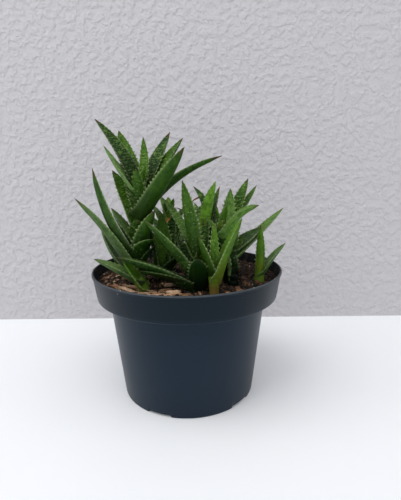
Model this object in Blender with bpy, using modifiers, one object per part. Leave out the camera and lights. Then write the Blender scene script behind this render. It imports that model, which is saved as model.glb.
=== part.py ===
"""Potted aloe: a clump of toothed aloe rosettes in a plain 12 cm nursery pot.

Metres, +Z up. The origin is on the table, in the middle of the pot's foot.
The viewer stands at -Y. Leaf and shoot lists below are in millimetres and degrees.
"""
import math
import random
from collections import namedtuple

import bmesh
import bpy
from mathutils import Matrix, Vector, noise

MM = 0.001
UP = Vector((0.0, 0.0, 1.0))
TOUCH_GAP = 0.3

# Pot, in millimetres
POT_HEIGHT = 81.0
RIM_RADIUS = 60.0
COLLAR_HEIGHT = 16.5
COLLAR_FOOT_RADIUS = 57.3
BODY_TOP_RADIUS = 49.9
FOOT_RADIUS = 42.6
WALL = 1.2
LIP = 0.3
FLOOR_RISE = 2.0
PAD_RADIUS = 12.0
POT_STEPS = 48
NOTCH_COUNT = 5
NOTCH_FIRST_HEADING = -113.0
NOTCH_WIDTH = 15.0
NOTCH_HEIGHT = 1.7
DRAIN_RADIUS = 3.0
DRAIN_PLACE = 33.0

# Soil, in millimetres
SOIL_LEVEL = 76.0
SOIL_EDGE = 74.6
SOIL_LUMP = 0.8
SOIL_LUMP_SIZE = 7.0
SOIL_RINGS = 7
SOIL_STEPS = 36
STEM_DEPTH = 9.0
HOLE_CLEARANCE = 0.5
BARK_COUNT = 10
BARK_SEED = 5

# Leaf form, as shares of the leaf's own width or length
SEGMENT_LENGTH = 8.0
FEWEST_SEGMENTS = 4
LEAF_THICKNESS = 0.42
TIP_THICKNESS = 0.25
TAPER_POWER = 3.8
ROOT_WIDTH = 0.8
ROOT_STRETCH = 0.14
MARGIN_LIFT = 0.30
CHANNEL_LIFT = 0.10
KEEL_DROP = 0.70
SIDE_DROP = 0.40
SIDE_PLACE = 0.62

# Marginal teeth, in millimetres
TOOTH_HEIGHT = 1.1
TOOTH_BASE = 1.7
TOOTH_LEAN = 0.8

GOLDEN_ANGLE = 137.5

Leaf = namedtuple("Leaf", "height heading reach rise width bow roll", defaults=(0.0,))
Shoot = namedtuple("Shoot", "name foot crown stem_radius tip_radius leaves")

# Each leaf: height of its root above the soil, heading round the stem (0 is right, 90 is
# away, -90 is towards the viewer), reach outwards and rise upwards from root to tip,
# width, bow (how far its middle stands above the straight line) and roll.
TALL_LEAVES = [
    Leaf(53, 60, 5.5, 32.3, 7, -3),
    Leaf(50.2, 122, 27.3, 40.1, 12, 0.3),
    Leaf(48.5, 50, 27, 40.5, 11.5, 1),
    Leaf(54.5, 150, 31.5, 42, 9.5, 3.4, -8),
    Leaf(45.4, 25, 28.4, 39.5, 12, 1.6, 8),
    Leaf(52, -170, 18.4, 28.1, 7.7, -0.2, -15),
    Leaf(39.7, -10, 48.7, 34.2, 12, 5.8),
    Leaf(39.2, -42, 37.9, 38.7, 13.2, 0.1),
    Leaf(31.9, 148, 18.8, 34.8, 11.5, 1.8, -10),
    Leaf(21.8, 165, 16.4, 23.1, 10.5, 0.2),
    Leaf(15.3, -35, 14.3, 29.4, 13, 2),
    Leaf(13.6, -148, 24, 54.6, 10.6, -4),
    Leaf(3, -160, 33, 49.1, 13.5, 3.5),
    Leaf(10.5, -40, 15.2, 18.2, 14, 4.6),
    Leaf(2.5, 168, 22, 31.8, 10.4, -2.7),
    Leaf(44, -95, 3, 23, 9, -1),
    Leaf(22, -85, 6, 17, 11, 2),
    Leaf(4, -80, 7, 13, 12, 2),
    Leaf(6, -8, 12, 18, 9, 2),
    Leaf(8, 60, 14, 26, 12, 1),
]

FRONT_LEAVES = [
    Leaf(18.8, -125, 12.2, 42.7, 9.3, 0.2),
    Leaf(14, 142, 27, 37.3, 8.2, 3.4),
    Leaf(0.5, -97, 10, 18.5, 9.5, 5),
    Leaf(3.8, -165, 29.8, 36.9, 13.8, 2.3),
    Leaf(1.6, -168, 45.3, 19.4, 14.5, 2.5, 8),
    Leaf(3, -164, 35, 10.5, 12.5, 2),
    Leaf(11, 60, 12, 26, 9, 1),
    Leaf(6, 40, 10, 17, 8, 2),
    Leaf(5, 140, 16, 22, 11, 1),
]

YOUNG_LEAVES = [
    Leaf(8.7, 95, 0.5, 30.4, 5, 2.6),
    Leaf(8, -160, 8.9, 24, 9.2, 0.3),
    Leaf(8.6, -15, 15.3, 33, 13.5, 1, 15),
]


def hidden_leaves(count, lowest, highest, reach, rise, width, first=35, span=110):
    """Leaves that fill a stem: golden-angle turns folded into a span of headings, upper ones smaller."""
    leaves = []
    for index in range(count):
        share = index / max(count - 1, 1)
        heading = first + (index * GOLDEN_ANGLE) % span
        size = 1.0 - 0.25 * share
        height = lowest + (highest - lowest) * share
        leaves.append(Leaf(height, heading, reach * size, rise * size, width * size, 1.5))
    return leaves


SHOOTS = [
    Shoot("shoot_tall", (-29, -20), (-26, -19, 56), 4.8, 3.4,
          TALL_LEAVES + hidden_leaves(4, 14, 40, 22, 34, 10, first=75, span=60)),
    Shoot("shoot_front", (7.8, -31.5), (6.5, -31, 19.5), 4.8, 3.4, FRONT_LEAVES),
    Shoot("shoot_young", (16, -37.5), (16, -37.5, 11), 2.6, 2.0, YOUNG_LEAVES),
    Shoot("shoot_low", (-23.5, -33), (-24.5, -34, 8), 3.2, 2.4, [
        Leaf(4, -172, 26.1, 15.3, 10.7, 1.2),
        Leaf(0.5, -155, 11.5, 18, 10, 0.5, -30),
    ]),
    Shoot("shoot_middle", (10, -3), (11, -2, 34), 4.2, 3.2, [
        Leaf(25.5, 135, 9.2, 30.7, 7.5, 7),
        Leaf(23.2, 30, 12, 32.6, 8, 0),
        Leaf(21, -40, 10, 38.6, 11.8, 2.4),
        Leaf(15.7, 15, 7.5, 30.8, 11, -4),
        Leaf(12, -95, 4, 24, 10, 1),
        Leaf(12, -170, 12, 28, 10, 1),
        Leaf(7, -35, 13, 20, 10, 2),
    ] + hidden_leaves(3, 8, 24, 18, 28, 9, first=80, span=80)),
    Shoot("shoot_right", (27, -19), (20.5, -19, 34), 4.2, 3.2, [
        Leaf(26.7, 60, 9.9, 28.7, 9, -2.9),
        Leaf(29.9, 35, 27.1, 27, 7.5, -1),
        Leaf(23.4, 45, 22.2, 37.5, 10.5, 0.8),
        Leaf(27.5, -25, 21.8, 19.4, 13, 4.2, 10),
        Leaf(12.2, 32, 44, 29.8, 8.8, 0),
        Leaf(16.6, 28, 25.2, 14.6, 14, 0.3),
        Leaf(11.9, 25, 10.9, 15, 9, 0),
        Leaf(9, 165, 9, 24, 10, 1),
        Leaf(4, -110, 5, 19, 10, 1),
        Leaf(1, -80, 5, 14, 10, 2),
    ] + hidden_leaves(2, 12, 20, 20, 24, 9, first=70, span=70)),
    Shoot("shoot_pup", (44.5, -14), (45, -14, 8), 3.2, 2.4, [
        Leaf(1.5, -85, 0.5, 32.8, 5.6, -2),
        Leaf(2, 5, 15.9, 20.4, 8, 1.2),
    ]),
    Shoot("shoot_back", (-12, 6), (-11, 5, 36), 3.8, 3.0, [
        Leaf(33.5, 150, 7, 16, 8, 1),
        Leaf(31, 100, 6, 18, 8, 1),
        Leaf(25, 20, 9.5, 17, 8, 1),
        Leaf(21.5, -150, 9.5, 19, 8, 1),
        Leaf(8, -155, 12, 20, 11, 1),
        Leaf(17, -70, 8, 16, 8, 1),
    ] + hidden_leaves(3, 8, 26, 20, 26, 9, first=20, span=140)),
    Shoot("shoot_rear", (7, 30), (7, 30, 14), 3.6, 2.8,
          hidden_leaves(6, 3, 12, 14, 22, 9, first=0, span=360)),
    Shoot("shoot_inner", (-14, -15), (-14, -15, 8), 3.4, 2.4, [
        Leaf(2, 100, 3, 39.6, 12, -1),
        Leaf(4, 25, 13, 30, 12, 1.5),
        Leaf(5, 55, 12, 35, 12, 1),
        Leaf(3, -30, 15, 15, 10, 2),
    ]),
]


def clear_scene():
    """Remove every object that the scene starts with."""
    for thing in list(bpy.data.objects):
        bpy.data.objects.remove(thing, do_unlink=True)


def new_collection(name):
    """A collection linked to the scene."""
    collection = bpy.data.collections.new(name)
    bpy.context.scene.collection.children.link(collection)
    return collection


def new_material(name, colour, roughness):
    """A Principled material with one colour, written as linear red, green and blue."""
    material = bpy.data.materials.new(name)
    material.use_nodes = True
    shader = material.node_tree.nodes["Principled BSDF"]
    shader.inputs["Base Color"].default_value = (*colour, 1.0)
    shader.inputs["Roughness"].default_value = roughness
    shader.inputs["Metallic"].default_value = 0.0
    material.diffuse_color = (*colour, 1.0)
    return material


def object_from_bmesh(name, shape, collection):
    """Put a bmesh, drawn in millimetres, into a new object in metres."""
    bmesh.ops.scale(shape, vec=(MM, MM, MM), verts=shape.verts)
    mesh = bpy.data.meshes.new(name)
    shape.to_mesh(mesh)
    shape.free()
    thing = bpy.data.objects.new(name, mesh)
    collection.objects.link(thing)
    return thing


def applied_mesh(thing):
    """The mesh of an object with its modifiers worked out."""
    bpy.context.view_layer.update()
    depsgraph = bpy.context.evaluated_depsgraph_get()
    return bpy.data.meshes.new_from_object(thing.evaluated_get(depsgraph))


def remove_objects(things):
    """Delete helper objects and their meshes."""
    for thing in list(things):
        mesh = thing.data
        bpy.data.objects.remove(thing, do_unlink=True)
        if mesh.users == 0:
            bpy.data.meshes.remove(mesh)


def as_cutter(thing):
    """Mark an object as a cutter, which is neither drawn solid nor rendered."""
    thing.hide_render = True
    thing.display_type = 'WIRE'


# Pot
def outer_radius(height):
    """Outer radius of the pot's wall, below or on the collar."""
    collar_foot = POT_HEIGHT - COLLAR_HEIGHT
    if height > collar_foot:
        share = (height - collar_foot) / COLLAR_HEIGHT
        return COLLAR_FOOT_RADIUS + (RIM_RADIUS - LIP - COLLAR_FOOT_RADIUS) * share
    share = height / collar_foot
    return FOOT_RADIUS + (BODY_TOP_RADIUS - FOOT_RADIUS) * share


def pot_profile():
    """Half outline of the pot, from the inside floor over the rim and down the outer side to the foot."""
    collar_foot = POT_HEIGHT - COLLAR_HEIGHT
    floor_top = FLOOR_RISE + WALL
    foot_ring = FOOT_RADIUS - WALL - 0.2
    pad_slope = 1.6
    return [
        (0.0, WALL),
        (PAD_RADIUS - WALL, WALL),
        (PAD_RADIUS + pad_slope - WALL, floor_top),
        (outer_radius(floor_top) - WALL, floor_top),
        (outer_radius(collar_foot) - WALL, collar_foot - 0.8),
        (outer_radius(collar_foot) - WALL + 0.4, collar_foot + WALL),
        (COLLAR_FOOT_RADIUS - WALL, collar_foot + WALL),
        (RIM_RADIUS - LIP - WALL, POT_HEIGHT - 0.5),
        (RIM_RADIUS - WALL + 0.2, POT_HEIGHT),
        (RIM_RADIUS - 0.4, POT_HEIGHT),
        (RIM_RADIUS, POT_HEIGHT - 0.4),
        (RIM_RADIUS, POT_HEIGHT - 1.3),
        (outer_radius(POT_HEIGHT - 1.7), POT_HEIGHT - 1.7),
        (COLLAR_FOOT_RADIUS, collar_foot + 0.5),
        (COLLAR_FOOT_RADIUS - 0.5, collar_foot),
        (BODY_TOP_RADIUS + 0.6, collar_foot),
        (BODY_TOP_RADIUS, collar_foot - 0.7),
        (outer_radius(0.7), 0.7),
        (FOOT_RADIUS - 0.5, 0.0),
        (foot_ring, 0.0),
        (foot_ring, FLOOR_RISE),
        (PAD_RADIUS + pad_slope, FLOOR_RISE),
        (PAD_RADIUS, 0.0),
        (0.0, 0.0),
    ]


def turned_object(name, profile, steps, collection):
    """Turn a half outline round the Z axis with a Screw modifier."""
    shape = bmesh.new()
    points = [shape.verts.new((radius, 0.0, height)) for radius, height in profile]
    for first, second in zip(points, points[1:]):
        shape.edges.new((first, second))
    thing = object_from_bmesh(name, shape, collection)
    screw = thing.modifiers.new("turn", 'SCREW')
    screw.steps = steps
    screw.render_steps = steps
    screw.use_merge_vertices = True
    screw.merge_threshold = 0.00001
    screw.use_smooth_shade = True
    return thing


def make_pot(parts, cutters, material):
    """A turned pot with a collar, five foot notches and five drain holes."""
    pot = turned_object("pot", pot_profile(), POT_STEPS, parts)
    pot.data.materials.append(material)
    for index in range(NOTCH_COUNT):
        heading = math.radians(NOTCH_FIRST_HEADING + index * 360.0 / NOTCH_COUNT)
        turn = Matrix.Rotation(heading, 4, 'Z')
        notch = bmesh.new()
        bmesh.ops.create_cube(notch, size=1.0)
        bmesh.ops.scale(notch, vec=(8.0, NOTCH_WIDTH, 2.0 * NOTCH_HEIGHT), verts=notch.verts)
        bmesh.ops.translate(notch, vec=(FOOT_RADIUS - 1.0, 0.0, 0.0), verts=notch.verts)
        bmesh.ops.transform(notch, matrix=turn, verts=notch.verts)
        as_cutter(object_from_bmesh(f"notch_cutter_{index + 1}", notch, cutters))
        drain = bmesh.new()
        bmesh.ops.create_cone(drain, cap_ends=True, segments=12, radius1=DRAIN_RADIUS,
                              radius2=DRAIN_RADIUS, depth=8.0)
        bmesh.ops.translate(drain, vec=(DRAIN_PLACE, 0.0, FLOOR_RISE), verts=drain.verts)
        bmesh.ops.transform(drain, matrix=turn, verts=drain.verts)
        as_cutter(object_from_bmesh(f"drain_cutter_{index + 1}", drain, cutters))
    cut = pot.modifiers.new("foot_openings", 'BOOLEAN')
    cut.operation = 'DIFFERENCE'
    cut.operand_type = 'COLLECTION'
    cut.collection = cutters
    return pot


# Soil
def soil_profile():
    """Half outline of the soil: flat top, pot-shaped side and flat underside, one gap off the pot."""
    collar_foot = POT_HEIGHT - COLLAR_HEIGHT
    floor_top = FLOOR_RISE + WALL + TOUCH_GAP
    inset = WALL + TOUCH_GAP + 0.1
    edge = outer_radius(SOIL_EDGE) - inset
    top = [(edge * ring / SOIL_RINGS, SOIL_LEVEL) for ring in range(SOIL_RINGS + 1)]
    side = [
        (COLLAR_FOOT_RADIUS - inset, collar_foot + WALL + TOUCH_GAP),
        (outer_radius(collar_foot) - inset, collar_foot + WALL + TOUCH_GAP),
        (outer_radius(floor_top) - inset, floor_top),
        (0.0, floor_top),
    ]
    return top + side


def soil_height(x, y):
    """Height of the soil's top: low lumps, calm at the pot's wall, a little higher in the middle."""
    distance = math.hypot(x, y)
    crown = (SOIL_LEVEL - SOIL_EDGE) * max(0.0, 1.0 - (distance / BODY_TOP_RADIUS) ** 2)
    calm = min(1.0, max(0.0, (55.0 - distance) / 8.0))
    lump = noise.noise(Vector((x / SOIL_LUMP_SIZE, y / SOIL_LUMP_SIZE, 3.7)))
    return SOIL_EDGE + crown + SOIL_LUMP * calm * (lump - 0.4)


def bark_places():
    """Where bark chips show in the soil: clear of every stem, each with a turn and a size."""
    draw = random.Random(BARK_SEED)
    places = [(-31.0, -39.0, -25.0, 1.5), (-19.0, -47.0, -12.0, 1.3), (0.0, -51.0, 8.0, 1.0)]
    while len(places) < BARK_COUNT:
        distance = 50.0 * math.sqrt(draw.random())
        heading = draw.uniform(0.0, 2.0 * math.pi)
        place = Vector((distance * math.cos(heading), distance * math.sin(heading)))
        near_stem = any((place - Vector(shoot.foot)).length < 13.0 for shoot in SHOOTS)
        near_chip = any((place - Vector(chip[:2])).length < 12.0 for chip in places)
        turn = draw.uniform(0.0, 180.0)
        size = draw.uniform(0.6, 1.1)
        if not near_stem and not near_chip:
            places.append((place.x, place.y, turn, size))
    return places


def bark_chip(name, x, y, turn, size, collection):
    """A flat, long chip of bark with bevelled edges, half sunk in the soil."""
    chip = bmesh.new()
    bmesh.ops.create_cube(chip, size=1.0)
    for corner in chip.verts:
        corner.co.y *= 0.75 if corner.co.x > 0.0 else 1.0
    bmesh.ops.scale(chip, vec=(9.0 * size, 4.0 * size, 2.6), verts=chip.verts)
    tilt = Matrix.Rotation(math.radians(4.0), 4, 'Y')
    spin = Matrix.Rotation(math.radians(turn), 4, 'Z')
    place = Matrix.Translation((x, y, soil_height(x, y) + 0.1))
    bmesh.ops.transform(chip, matrix=place @ spin @ tilt, verts=chip.verts)
    return object_from_bmesh(name, chip, collection)


def make_soil(parts, cutters, material):
    """The pot's soil: a turned body with a lumpy top, sunk bark chips and a plain hole for each stem."""
    soil = turned_object("soil", soil_profile(), SOIL_STEPS, parts)
    turned = applied_mesh(soil)
    soil.modifiers.clear()
    soil.data = turned
    for corner in turned.vertices:
        if abs(corner.co.z - SOIL_LEVEL * MM) < 0.00001:
            corner.co.z = soil_height(corner.co.x / MM, corner.co.y / MM) * MM
    chips = new_collection("bark_chips")
    for index, (x, y, turn, size) in enumerate(bark_places()):
        bark_chip(f"bark_chip_{index + 1}", x, y, turn, size, chips)
    join_collection(soil, chips)
    for shoot in SHOOTS:
        hole = bmesh.new()
        radius = shoot.stem_radius + HOLE_CLEARANCE
        bmesh.ops.create_cone(hole, cap_ends=True, segments=12, radius1=radius, radius2=radius,
                              depth=2.0 * (STEM_DEPTH + HOLE_CLEARANCE))
        bmesh.ops.translate(hole, vec=(*shoot.foot, SOIL_LEVEL), verts=hole.verts)
        as_cutter(object_from_bmesh(f"{shoot.name}_hole_cutter", hole, cutters))
    cut = soil.modifiers.new("stem_holes", 'BOOLEAN')
    cut.operation = 'DIFFERENCE'
    cut.operand_type = 'COLLECTION'
    cut.collection = cutters
    soil.data.materials.clear()
    soil.data.materials.append(material)
    return soil


# Shoots
def keep_main_body(mesh):
    """Drop sealed hollows and loose scraps: only the shell that encloses most volume stays."""
    shape = bmesh.new()
    shape.from_mesh(mesh)
    bmesh.ops.triangulate(shape, faces=shape.faces)
    unseen = set(shape.faces)
    shells = []
    while unseen:
        start = unseen.pop()
        shell = [start]
        waiting = [start]
        while waiting:
            face = waiting.pop()
            for edge in face.edges:
                for other in edge.link_faces:
                    if other in unseen:
                        unseen.remove(other)
                        shell.append(other)
                        waiting.append(other)
        volume = sum(face.verts[0].co.dot(face.verts[1].co.cross(face.verts[2].co))
                     for face in shell) / 6.0
        shells.append((volume, shell))
    shells.sort(key=lambda item: item[0], reverse=True)
    scraps = [face for _, shell in shells[1:] for face in shell]
    bmesh.ops.delete(shape, geom=scraps, context='FACES')
    shape.to_mesh(mesh)
    shape.free()


def join_collection(body, helpers):
    """Union a collection's objects into one body, apply it and remove the helpers."""
    join = body.modifiers.new("join", 'BOOLEAN')
    join.operation = 'UNION'
    join.operand_type = 'COLLECTION'
    join.collection = helpers
    joined = applied_mesh(body)
    body.modifiers.clear()
    body.data = joined
    keep_main_body(joined)
    remove_objects(helpers.objects)
    bpy.data.collections.remove(helpers)


def leaf_ring(centre, across, face, half_width, thickness):
    """Six corners of a leaf's cross section: two margins, a shallow channel above, a keel below."""
    places = [
        (-1.0, MARGIN_LIFT),
        (0.0, CHANNEL_LIFT),
        (1.0, MARGIN_LIFT),
        (SIDE_PLACE, -SIDE_DROP),
        (0.0, -KEEL_DROP),
        (-SIDE_PLACE, -SIDE_DROP),
    ]
    return [centre + across * (side * half_width) + face * (lift * thickness)
            for side, lift in places]


def leaf_path(root, tip, bow, along):
    """Point and direction on a parabola from root to tip whose middle stands bow above the chord."""
    chord = tip - root
    across = UP.cross(chord).normalized()
    lift = chord.normalized().cross(across)
    control = (root + tip) * 0.5 + lift * (2.0 * bow)
    point = root * (1.0 - along) ** 2 + control * (2.0 * along * (1.0 - along)) + tip * along ** 2
    direction = (control - root) * (1.0 - along) + (tip - control) * along
    return point, direction.normalized(), across


def leaf_mesh(root, leaf):
    """Loft a tapering, keeled leaf from its root to a pointed tip, with a tooth on each margin segment."""
    heading = math.radians(leaf.heading)
    outwards = Vector((math.cos(heading), math.sin(heading), 0.0))
    tip = root + outwards * leaf.reach + UP * leaf.rise
    length = (tip - root).length
    count = max(FEWEST_SEGMENTS, round(length / SEGMENT_LENGTH))
    shape = bmesh.new()
    rings = []
    for station in range(count):
        along = station / count
        centre, direction, across = leaf_path(root, tip, leaf.bow, along)
        turn = Matrix.Rotation(math.radians(leaf.roll), 3, direction)
        across = turn @ across
        face = direction.cross(across)
        swell = ROOT_WIDTH + (1.0 - ROOT_WIDTH) * min(1.0, along / ROOT_STRETCH)
        half_width = 0.5 * leaf.width * swell * (1.0 - along ** TAPER_POWER)
        thickness = LEAF_THICKNESS * leaf.width * (TIP_THICKNESS + (1.0 - TIP_THICKNESS) * (1.0 - along ** 2))
        corners = leaf_ring(centre, across, face, half_width, thickness)
        rings.append([shape.verts.new(corner) for corner in corners])
    point = shape.verts.new(tip)
    shape.faces.new(list(reversed(rings[0])))
    for lower, upper in zip(rings, rings[1:]):
        loft_segment(shape, lower, upper)
    last = rings[-1]
    for corner in range(6):
        shape.faces.new((last[corner], last[(corner + 1) % 6], point))
    bmesh.ops.triangulate(shape, faces=shape.faces)
    bmesh.ops.recalc_face_normals(shape, faces=shape.faces)
    return shape


def loft_segment(shape, lower, upper):
    """Join two rings: plain quads on the keel, and fans round a tooth on each margin."""
    left, channel, right, side_right, keel, side_left = range(6)
    for first, second in ((side_right, keel), (keel, side_left)):
        shape.faces.new((lower[first], lower[second], upper[second], upper[first]))
    for margin, inner_above, inner_below in ((left, channel, side_left), (right, channel, side_right)):
        start = lower[margin]
        end = upper[margin]
        run = end.co - start.co
        outwards = (start.co - lower[right if margin == left else left].co).normalized()
        base_end = shape.verts.new(start.co + run * min(0.45, TOOTH_BASE / run.length))
        lean = run.normalized() * TOOTH_LEAN
        apex = shape.verts.new(start.co + outwards * TOOTH_HEIGHT + lean)
        edge = [start, apex, base_end, end]
        for hub, hub_end in ((lower[inner_above], upper[inner_above]), (lower[inner_below], upper[inner_below])):
            for first, second in zip(edge, edge[1:]):
                shape.faces.new((hub, first, second))
            shape.faces.new((hub, end, hub_end))


def stem_point(shoot, height):
    """Point on a shoot's straight stem at a height above the soil level."""
    foot = Vector((*shoot.foot, SOIL_LEVEL))
    crown = Vector((shoot.crown[0], shoot.crown[1], SOIL_LEVEL + shoot.crown[2]))
    return foot + (crown - foot) * (height / shoot.crown[2])


def make_stem(shoot, parts):
    """A tapering eight-sided stem: upright in its hole, then leaning to the crown."""
    stem = bmesh.new()
    levels = [(-STEM_DEPTH, shoot.stem_radius), (2.0, shoot.stem_radius), (shoot.crown[2], shoot.tip_radius)]
    rings = []
    for height, radius in levels:
        ring = bmesh.ops.create_circle(stem, cap_ends=False, segments=8, radius=radius)["verts"]
        centre = stem_point(shoot, max(height, 0.0))
        centre.z = SOIL_LEVEL + height
        bmesh.ops.translate(stem, vec=centre, verts=ring)
        rings.append(ring)
    for lower, upper in zip(rings, rings[1:]):
        for index in range(8):
            follower = (index + 1) % 8
            stem.faces.new((lower[index], lower[follower], upper[follower], upper[index]))
    stem.faces.new(rings[0])
    stem.faces.new(rings[-1])
    bmesh.ops.recalc_face_normals(stem, faces=stem.faces)
    return object_from_bmesh(shoot.name, stem, parts)


def make_shoot(shoot, parts, material):
    """One leafy shoot: its leaves rooted on the stem's axis and fused with the stem."""
    body = make_stem(shoot, parts)
    leaves = new_collection(f"{shoot.name}_leaves")
    for index, leaf in enumerate(shoot.leaves):
        shape = leaf_mesh(stem_point(shoot, leaf.height), leaf)
        object_from_bmesh(f"{shoot.name}_leaf_{index + 1}", shape, leaves)
    join_collection(body, leaves)
    body.data.materials.clear()
    body.data.materials.append(material)
    return body


def main():
    """Build the whole part."""
    clear_scene()
    parts = new_collection("potted_aloe")
    pot_cutters = new_collection("pot_cutters")
    soil_cutters = new_collection("soil_cutters")
    plastic = new_material("pot_plastic", (0.030, 0.042, 0.056), 0.42)
    peat = new_material("peat_and_bark", (0.060, 0.032, 0.020), 0.95)
    green = new_material("leaf_green", (0.045, 0.120, 0.030), 0.45)
    young = new_material("leaf_young_green", (0.120, 0.250, 0.030), 0.42)
    make_pot(parts, pot_cutters, plastic)
    make_soil(parts, soil_cutters, peat)
    for shoot in SHOOTS:
        make_shoot(shoot, parts, young if shoot.name == "shoot_young" else green)


if __name__ == "__main__":
    main()
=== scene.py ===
"""Potted aloe: looks for a clump of toothed aloe shoots in a 12 cm nursery pot.

Lengths in the lists and constants below are in millimetres and angles in degrees. Meshes are
written in metres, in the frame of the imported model: +Z up, origin under the middle of the pot.
"""

import math
from collections import namedtuple

import bpy
import numpy as np
from bpy.props import FloatProperty, FloatVectorProperty, IntProperty, PointerProperty
from mathutils import Matrix


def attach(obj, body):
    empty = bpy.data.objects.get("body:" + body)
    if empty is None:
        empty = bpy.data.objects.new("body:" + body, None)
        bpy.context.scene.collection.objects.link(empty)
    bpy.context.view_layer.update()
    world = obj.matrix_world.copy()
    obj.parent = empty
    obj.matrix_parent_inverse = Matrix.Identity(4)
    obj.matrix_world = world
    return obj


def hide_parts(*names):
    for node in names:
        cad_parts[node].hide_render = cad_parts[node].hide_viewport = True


bl_info = {
    "name": "Potted aloe",
    "version": (1, 0, 0),
    "blender": (4, 5, 0),
    "location": "3D View > Sidebar > Potted aloe",
    "description": "Leaves, soil, pot and stage of a small potted aloe",
    "category": "Add Mesh",
}

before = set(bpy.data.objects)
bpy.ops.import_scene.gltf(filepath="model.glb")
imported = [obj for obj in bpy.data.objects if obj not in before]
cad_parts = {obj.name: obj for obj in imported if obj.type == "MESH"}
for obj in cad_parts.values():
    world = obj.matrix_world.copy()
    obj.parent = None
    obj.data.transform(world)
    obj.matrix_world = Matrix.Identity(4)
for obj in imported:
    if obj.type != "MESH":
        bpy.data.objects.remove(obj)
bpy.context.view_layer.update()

MM = 0.001
TURN = 2.0 * math.pi
UP = np.array([0.0, 0.0, 1.0])
GOLDEN_ANGLE = 137.5

# Pot form
POT_HEIGHT = 81.0
RIM_RADIUS = 60.0
COLLAR_HEIGHT = 16.5
COLLAR_FOOT = POT_HEIGHT - COLLAR_HEIGHT
COLLAR_FOOT_RADIUS = 57.3
BODY_TOP_RADIUS = 49.9
FOOT_RADIUS = 42.6
WALL = 1.2
LIP = 0.3
COLLAR_SPREAD = RIM_RADIUS - LIP - COLLAR_FOOT_RADIUS
FLOOR_RISE = 2.0
PAD_RADIUS = 12.0
NOTCH_COUNT = 5
NOTCH_FIRST_HEADING = -113.0
NOTCH_WIDTH = 15.0
NOTCH_HEIGHT = 1.7
NOTCH_SLOPE = 0.8
DRAIN_RADIUS = 3.0
DRAIN_PLACE = 33.0
DRAIN_STEPS = 32
DRAIN_REACH = UP * 4.0
POT_STEPS = 288
SHARP_ANGLE = 38.0

# Radii of the pot's rounded edges
INNER_ROUND = 0.3
RIM_ROUND = 0.5
BEAD_ROUND = 0.35
STEP_ROUND = 0.8
SHOULDER_ROUND = 0.7

# Soil form
SOIL_LEVEL = 76.0
SOIL_EDGE = 74.6
SOIL_FOOT = 3.5
SOIL_INSET = WALL + 0.15
SOIL_RINGS = 110
SOIL_STEPS = 300
LUMP_WIDTH, LUMP_RISE = 7.0, 1.6
CRUMB_WIDTH, CRUMB_RISE = 2.2, 1.5
LITTER_RADIUS = 56.0
STEM_CLEARANCE = 1.0
FIBRE_SIDES = 4
STEM_DEPTH = 9.0

# Leaf form, as shares of the leaf's own width or length
LEAF_THICKNESS = 0.42
TIP_THICKNESS = 0.25
TAPER_POWER = 3.8
ROOT_STRETCH = 0.62
MARGIN_LIFT = 0.30
CHANNEL_LIFT = 0.10
KEEL_DROP = 0.70
KEEL_POWER = 0.74
CLASP_LIFT = 0.55
CLASP_STRETCH = 0.22
TIP_STRETCH = 0.12
LEAF_COLUMNS = 28

# Six rows make one marginal tooth: how far each row stands out
TOOTH_ROWS = np.array([0.0, 0.25, 0.62, 1.0, 0.22, 0.0])
TOOTH_LEAN = 0.45
GROWN_WIDTH = 9.0

# Each tubercle is a dome of two rings and an apex
DOME_SIDES = 6
DOME_POINTS = 2 * DOME_SIDES + 1

# Stem form: the pitch of the old leaf bases, the radii below which a stem is fresh or flares, and
# the place across at which its pattern is read
STEM_ROWS, STEM_COLUMNS = 60, 26
BASE_PITCH = 4.2
FRESH_RADIUS = 3.3
FLARED_RADIUS = 3.0
STEM_PLACE = 77.0

# Camera and stage
CAMERA_PLACE = (8.67, -244.94, 144.26)
CAMERA_PITCH = 12.09
CAMERA_ROLL = -0.573
LAMP_PLACE = (-820, -260, 1230)
LAMP_TARGET = (0, 0, 80)
LAMP_SIZE = 1500
LAMP_COLOUR = (1.0, 0.985, 0.96)
STAGE_REACH = 3000.0
TABLE_BACK = 114.0

# Colours that lie over a material's own colour; those marked painted stand in for light or shade
RUBBED_PLASTIC = (0.42, 0.45, 0.47)
# Paler band along the top of the pot's lip
PALE_LIP = (0.13, 0.15, 0.17)
DUST = (0.075, 0.055, 0.042)
# Inside of the pot's wall: wet dirty plastic darkened near black by painted shade
WET_AND_SHADED_WALL = (0.0022, 0.0020, 0.0020)
SMEARED_WALL = (0.030, 0.017, 0.010)
RUDDY_PEAT = (0.115, 0.052, 0.022)
PALE_PEAT = (0.26, 0.19, 0.12)
DARK_GRAIN = (0.02, 0.012, 0.008)
# Painted sunlight on the brightest leaves
SUNLIT_LEAF = (0.200, 0.480, 0.036)
WAX = (0.20, 0.28, 0.14)
PALE_BAND = (0.17, 0.31, 0.055)
# Painted shade on leaf undersides
SHADED_LEAF = (0.004, 0.020, 0.001)
YELLOWED_LEAF = (0.170, 0.215, 0.024)
# Painted highlight along leaf margins
LIT_MARGIN = (0.15, 0.25, 0.075)
DRY_TIP = (0.075, 0.040, 0.018)
CRISP_DARK = (0.030, 0.016, 0.009)
CRISP_PALE = (0.42, 0.17, 0.035)
BUMP_GREEN = (0.34, 0.48, 0.18)
# Painted deep shade, near black, on the darkest leaves and stems
DEEP_SHADE_LEAF = (0.001, 0.004, 0.001)

# Leaf: height of its root above the soil, heading round the stem (0 right, 90 away, -90 towards
# the viewer), reach, rise, width, bow and roll give its form. tint runs from near black (-1) over
# dark (0) to bright green (1): below 0 it is painted deep shade and above 1 painted sunlight, and
# leaves of low tint get more painted shade on their undersides and towards their roots. bloom is
# its grey wax, bumps its pale tubercles, dry its tip and base the share of its width that it has at
# the root.
Leaf = namedtuple("Leaf", "height heading reach rise width bow roll tint bloom bumps dry base",
                  defaults=(0.8,))

# Shoot: its leaves are rows for Leaf. The rows in small begin with the root's own x, y and z, inside
# a larger leaf or a stem, in place of the height.
Shoot = namedtuple("Shoot", "name foot crown stem_radius tip_radius leaves small", defaults=((),))


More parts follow.
